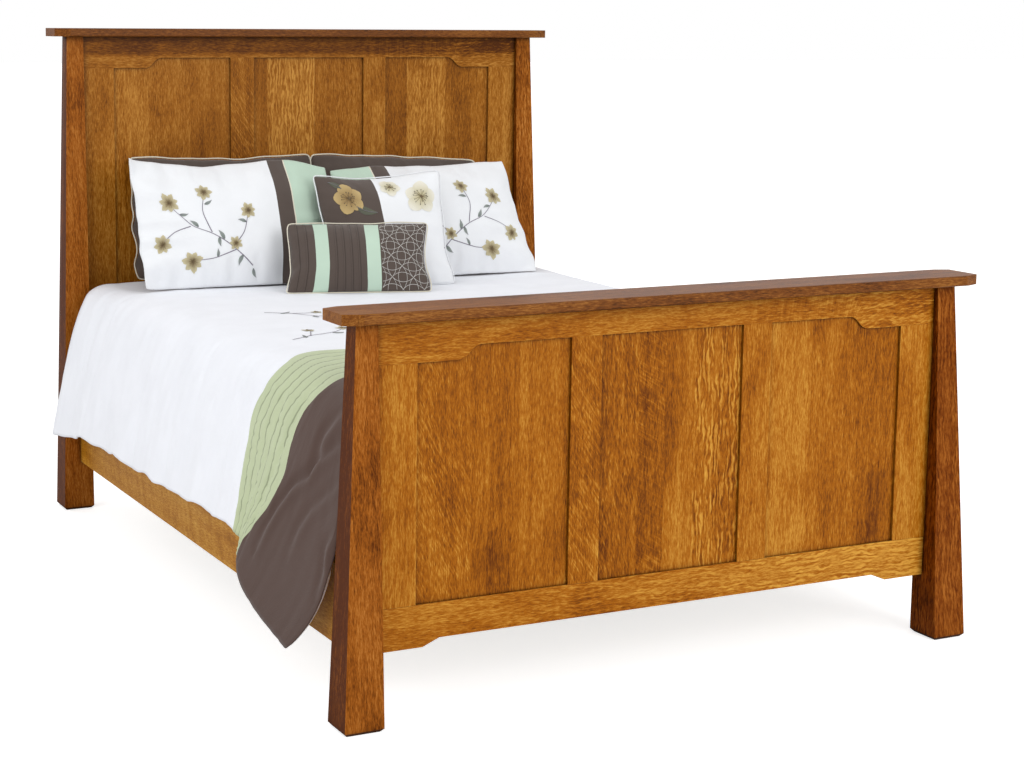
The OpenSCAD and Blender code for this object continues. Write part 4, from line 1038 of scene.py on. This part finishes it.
class Stitching:
    """Ribbons laid on a grid of points, whose columns and rows stand at the given flat places."""

    def __init__(self, grid, columns, rows):
        self.grid, self.columns, self.rows = grid, columns, rows
        self.normals = -outward(grid)  # because these rows run up the cover
        self.points, self.faces, self.cloth, self.kinds = [], [], [], []

    def lay(self, flat, height):
        """Flat places as points on the cover, raised by the height."""
        column = np.interp(flat[:, 0], self.columns, np.arange(len(self.columns)))
        row = np.interp(flat[:, 1], self.rows, np.arange(len(self.rows)))
        c0 = np.clip(column.astype(int), 0, len(self.columns) - 2)
        r0 = np.clip(row.astype(int), 0, len(self.rows) - 2)
        fc, fr = (column - c0)[:, None], (row - r0)[:, None]
        spots = []
        for table in (self.grid, self.normals):
            near, far = (table[r, c0] * (1 - fc) + table[r, c0 + 1] * fc for r in (r0, r0 + 1))
            spots.append(near * (1 - fr) + far * fr)
        return spots[0] + spots[1] * height

    def ribbon(self, kind, path, widths, height=0.0008):
        """One strip with a raised middle along a flat path."""
        path = np.asarray(path, float)
        widths = np.broadcast_to(widths, len(path))
        ahead = np.gradient(path, axis=0)
        beside = np.stack([-ahead[:, 1], ahead[:, 0]], axis=1)
        beside /= np.maximum(np.linalg.norm(beside, axis=1, keepdims=True), 1e-9)
        start = sum(len(p) for p in self.points)
        share = np.linspace(0, 1, len(path))
        n = len(path)
        for side, rise in ((-0.5, 0.0), (0.0, RAISED), (0.5, 0.0)):
            self.points.append(self.lay(path + beside * widths[:, None] * side, height + rise))
            self.cloth.append(np.stack([share, side * widths + 0.01, np.zeros(n)], axis=1))
        for strip in (0, 1):
            first = start + strip * n + np.arange(n - 1)
            self.faces.append(np.stack([first, first + n, first + n + 1, first + 1], axis=1))
            self.kinds += [kind] * (n - 1)

    def leaf(self, base, angle, length, wide, kind="leaf"):
        """A bowed blade with a thin midrib."""
        along = np.linspace(0, 1, 8)
        bend = angle + 0.35 * (along - 0.5)
        path = np.array(base) + length * along[:, None] * np.stack([np.cos(bend), np.sin(bend)], axis=1)
        self.ribbon(kind, path, np.maximum(wide * np.sin(math.pi * along**0.8), 0.0006))
        self.ribbon("stem", path, 0.0012, 0.0018)

    def blossom(self, middle, radius, petals, turn, kind="petal", stamens=0):
        """Petals round a heart. A large blossom has stamens with dark tips."""
        middle = np.array(middle)
        along = np.linspace(0, 1, 9)
        # a large petal is one broad strand, a small one has three that fan out
        strands = [(0, 1.0, 0.88)] if stamens else [(-0.22, 0.80, 0.36), (0.22, 0.88, 0.36), (0, 1.0, 0.44)]
        for k in range(petals):
            for number, (lean, long, full) in enumerate(strands):
                angle = turn + 2 * math.pi * k / petals + lean
                way = np.array([math.cos(angle), math.sin(angle)])
                wide = radius * full * np.sin(math.pi * (0.06 + 0.90 * along**1.3)) ** 0.8
                reach = radius * long * (0.88 + 0.24 * ((k * 3) % petals) / petals)
                self.ribbon(kind, middle + reach * (0.06 + 0.94 * along[:, None]) * way, wide,
                            0.0008 + 0.0003 * (k % 2) + 0.0003 * (number // 2))
        for k in range(stamens or petals * 2):
            angle = turn + 2.4 * k
            way = np.array([math.cos(angle), math.sin(angle)])
            reach = np.linspace(0.05, 0.30 + 0.22 * ((k * 7) % 5) / 4, 4)[:, None] * radius
            self.ribbon("heart", middle + reach * way, 0.0010, 0.0020)
            if stamens:
                tip = middle + reach[-1] * way
                dot = tip + way * np.array([[-0.0016], [0.0], [0.0022]])
                self.ribbon("dark", dot, [0.0014, 0.0034, 0.0014], 0.0024)
        self.ribbon("heart", middle + np.array([[-1.0], [0], [1.0]]) * (0.08 * radius, 0),
                    np.array([0.5, 1, 0.5]) * 0.16 * radius, 0.0022)

    def stem(self, knots):
        """A smooth stem through a few places."""
        knots = np.array(knots, float)
        marks = np.linspace(0, len(knots) - 1, 12 * len(knots))
        path = np.stack([np.interp(marks, range(len(knots)), column) for column in knots.T], axis=1)
        self.ribbon("stem", soften(path, 5), np.linspace(STEM_W, STEM_W * 0.6, len(path)))

    def finish(self, name, slot):
        used = sorted(set(self.kinds))
        piece = mesh_object(name, np.concatenate(self.points), np.concatenate(self.faces).tolist(),
                            [THREADS[kind] for kind in used], np.concatenate(self.cloth))
        for polygon, kind in zip(piece.data.polygons, self.kinds):
            polygon.material_index = used.index(kind)
        print(name, len(self.kinds), "faces")


def on_pillow(name, width, height):
    grid = fronts[name]
    rows, columns = grid.shape[:2]
    return Stitching(grid, np.linspace(0, width, columns), np.linspace(0, height, rows))


print("threads", len(THREADS))

# %% [markdown]
# One plain sprig serves both shams, mirrored for the second: a stem that arches up and back, with
# seven-petalled blossoms in tan and grey-green leaves in pairs.

# %% Sprigs on the shams
STEMS = [
    [(0.350, 0.060), (0.290, 0.120), (0.225, 0.165), (0.160, 0.185), (0.105, 0.250)],
    [(0.225, 0.165), (0.200, 0.230), (0.215, 0.285)],
    [(0.290, 0.120), (0.330, 0.160), (0.345, 0.215)],
    [(0.300, 0.110), (0.230, 0.085), (0.170, 0.080)],
    [(0.160, 0.185), (0.110, 0.170), (0.075, 0.140)],
]
LEAVES = [(0.262, 0.140, 1.9, 0.034), (0.248, 0.150, -1.7, 0.030), (0.185, 0.182, 2.3, 0.032),
          (0.212, 0.255, 0.3, 0.028), (0.338, 0.190, 2.6, 0.028), (0.236, 0.088, 1.3, 0.026),
          (0.130, 0.222, -0.1, 0.028), (0.320, 0.092, -2.2, 0.034), (0.352, 0.052, -1.3, 0.030)]
BLOSSOMS = [(0.105, 0.258, 0.027, 0.3), (0.217, 0.295, 0.023, 0.9), (0.348, 0.226, 0.022, 0.1),
            (0.158, 0.078, 0.028, 1.2), (0.070, 0.132, 0.024, 0.6), (0.298, 0.128, 0.019, 0.4)]
for name, flip in (("front_sham_cover_left", False), ("front_sham_cover_right", True)):
    work = on_pillow(name, SHAM_W, SHAM_H)

    def here(x, z):
        return (SHAM_W - x if flip else x, z)

    for knots in STEMS:
        work.stem([here(*knot) for knot in knots])
    for x, z, angle, length in LEAVES:
        work.leaf(here(x, z), math.pi - angle if flip else angle, length, length * 0.36)
    for x, z, radius, turn in BLOSSOMS:
        work.blossom(here(x, z), radius * 1.15, 7, turn)
    work.finish(name.replace("cover", "sprig"), "white_cotton")

# %% [markdown]
# The square cushion has two large blossoms and a small one, with dark stamens. The lumbar pillow has
# stitched pleats in its brown parts and the lattice at its right end, where circles of 46 mm radius
# stand 65 mm apart in two sets.

# %% Cushion blossoms, pleats and lattice
work = on_pillow("square_cushion_cover", CUSHION_W, CUSHION_H)
work.leaf((0.118, 0.262), -0.5, 0.075, 0.030, kind="moss")
work.leaf((0.085, 0.330), 2.3, 0.050, 0.022, kind="moss")
work.blossom((0.100, 0.292), 0.056, 5, 0.5, kind="gold", stamens=16)
work.blossom((0.345, 0.290), 0.058, 5, 0.2, kind="pale", stamens=16)
work.blossom((0.250, 0.335), 0.036, 5, 1.0, kind="pale", stamens=11)
work.finish("square_cushion_blossoms", "brown_cotton")

work = on_pillow("lumbar_pillow_cover", LUMBAR_W, LUMBAR_H)
rise = np.linspace(0.006, LUMBAR_H - 0.006, 24)
for x in PLEATS:
    work.ribbon("fold", np.stack([np.full(24, x), rise], axis=1), 0.005, 0.0008)
CIRCLE, APART = 0.046, 0.065
MARGIN = 0.007  # the lattice stops this far from the seams
spin = np.linspace(0, 2 * math.pi, 73)
for col in range(-1, 6):
    for row in range(-1, 5):
        for shift in (0, APART / 2):
            ring = np.stack([LATTICE_X + col * APART + shift + CIRCLE * np.cos(spin),
                             0.012 + row * APART + shift + CIRCLE * np.sin(spin)], axis=1)
            kept = (ring[:, 0] > LATTICE_X + 0.001) & (ring[:, 0] < LUMBAR_W - MARGIN)
            kept &= (ring[:, 1] > MARGIN) & (ring[:, 1] < LUMBAR_H - MARGIN)
            for piece in np.split(np.arange(len(spin)), np.flatnonzero(np.diff(kept.astype(int))) + 1):
                if kept[piece[0]] and len(piece) > 2:
                    work.ribbon("line", ring[piece], 0.0011, 0.0004)
work.finish("lumbar_pillow_pleats_and_lattice", "brown_cotton")

# %% [markdown]
# A few short sprigs are stitched on the comforter, above the green band.

# %% Sprigs on the comforter
plain = skin[: np.searchsorted(run, TOP_LEN)]
middle_row = plain[len(plain) // 2]
inner = slice(EDGE_COLS + SIDE_COLS, -(EDGE_COLS + SIDE_COLS))
work = Stitching(plain[::-1, inner], middle_row[inner, 0], plain[::-1, 0, 1])
for x, y, turn in ((-0.50, -0.20, 0.4), (-0.30, -0.33, -0.5), (-0.06, -0.12, 0.9), (0.22, -0.30, -0.2),
                   (0.46, -0.14, 0.6), (-0.42, 0.14, -0.8)):
    way, beside = np.array([math.cos(turn), math.sin(turn)]), np.array([-math.sin(turn), math.cos(turn)])
    spot = np.array([x, y])
    work.stem([spot - 0.11 * way, spot - 0.03 * way + 0.015 * beside, spot + 0.05 * way,
               spot + 0.11 * way + 0.03 * beside])
    work.stem([spot - 0.03 * way + 0.012 * beside, spot + 0.02 * way + 0.06 * beside])
    work.leaf(spot - 0.06 * way, turn + 0.9, 0.032, 0.012)
    work.leaf(spot + 0.04 * way, turn - 0.8, 0.030, 0.011)
    work.blossom(spot + 0.12 * way + 0.035 * beside, 0.026, 5, turn)
    work.blossom(spot + 0.02 * way + 0.07 * beside, 0.018, 5, turn + 1)
work.finish("comforter_sprigs", "comforter_cotton")
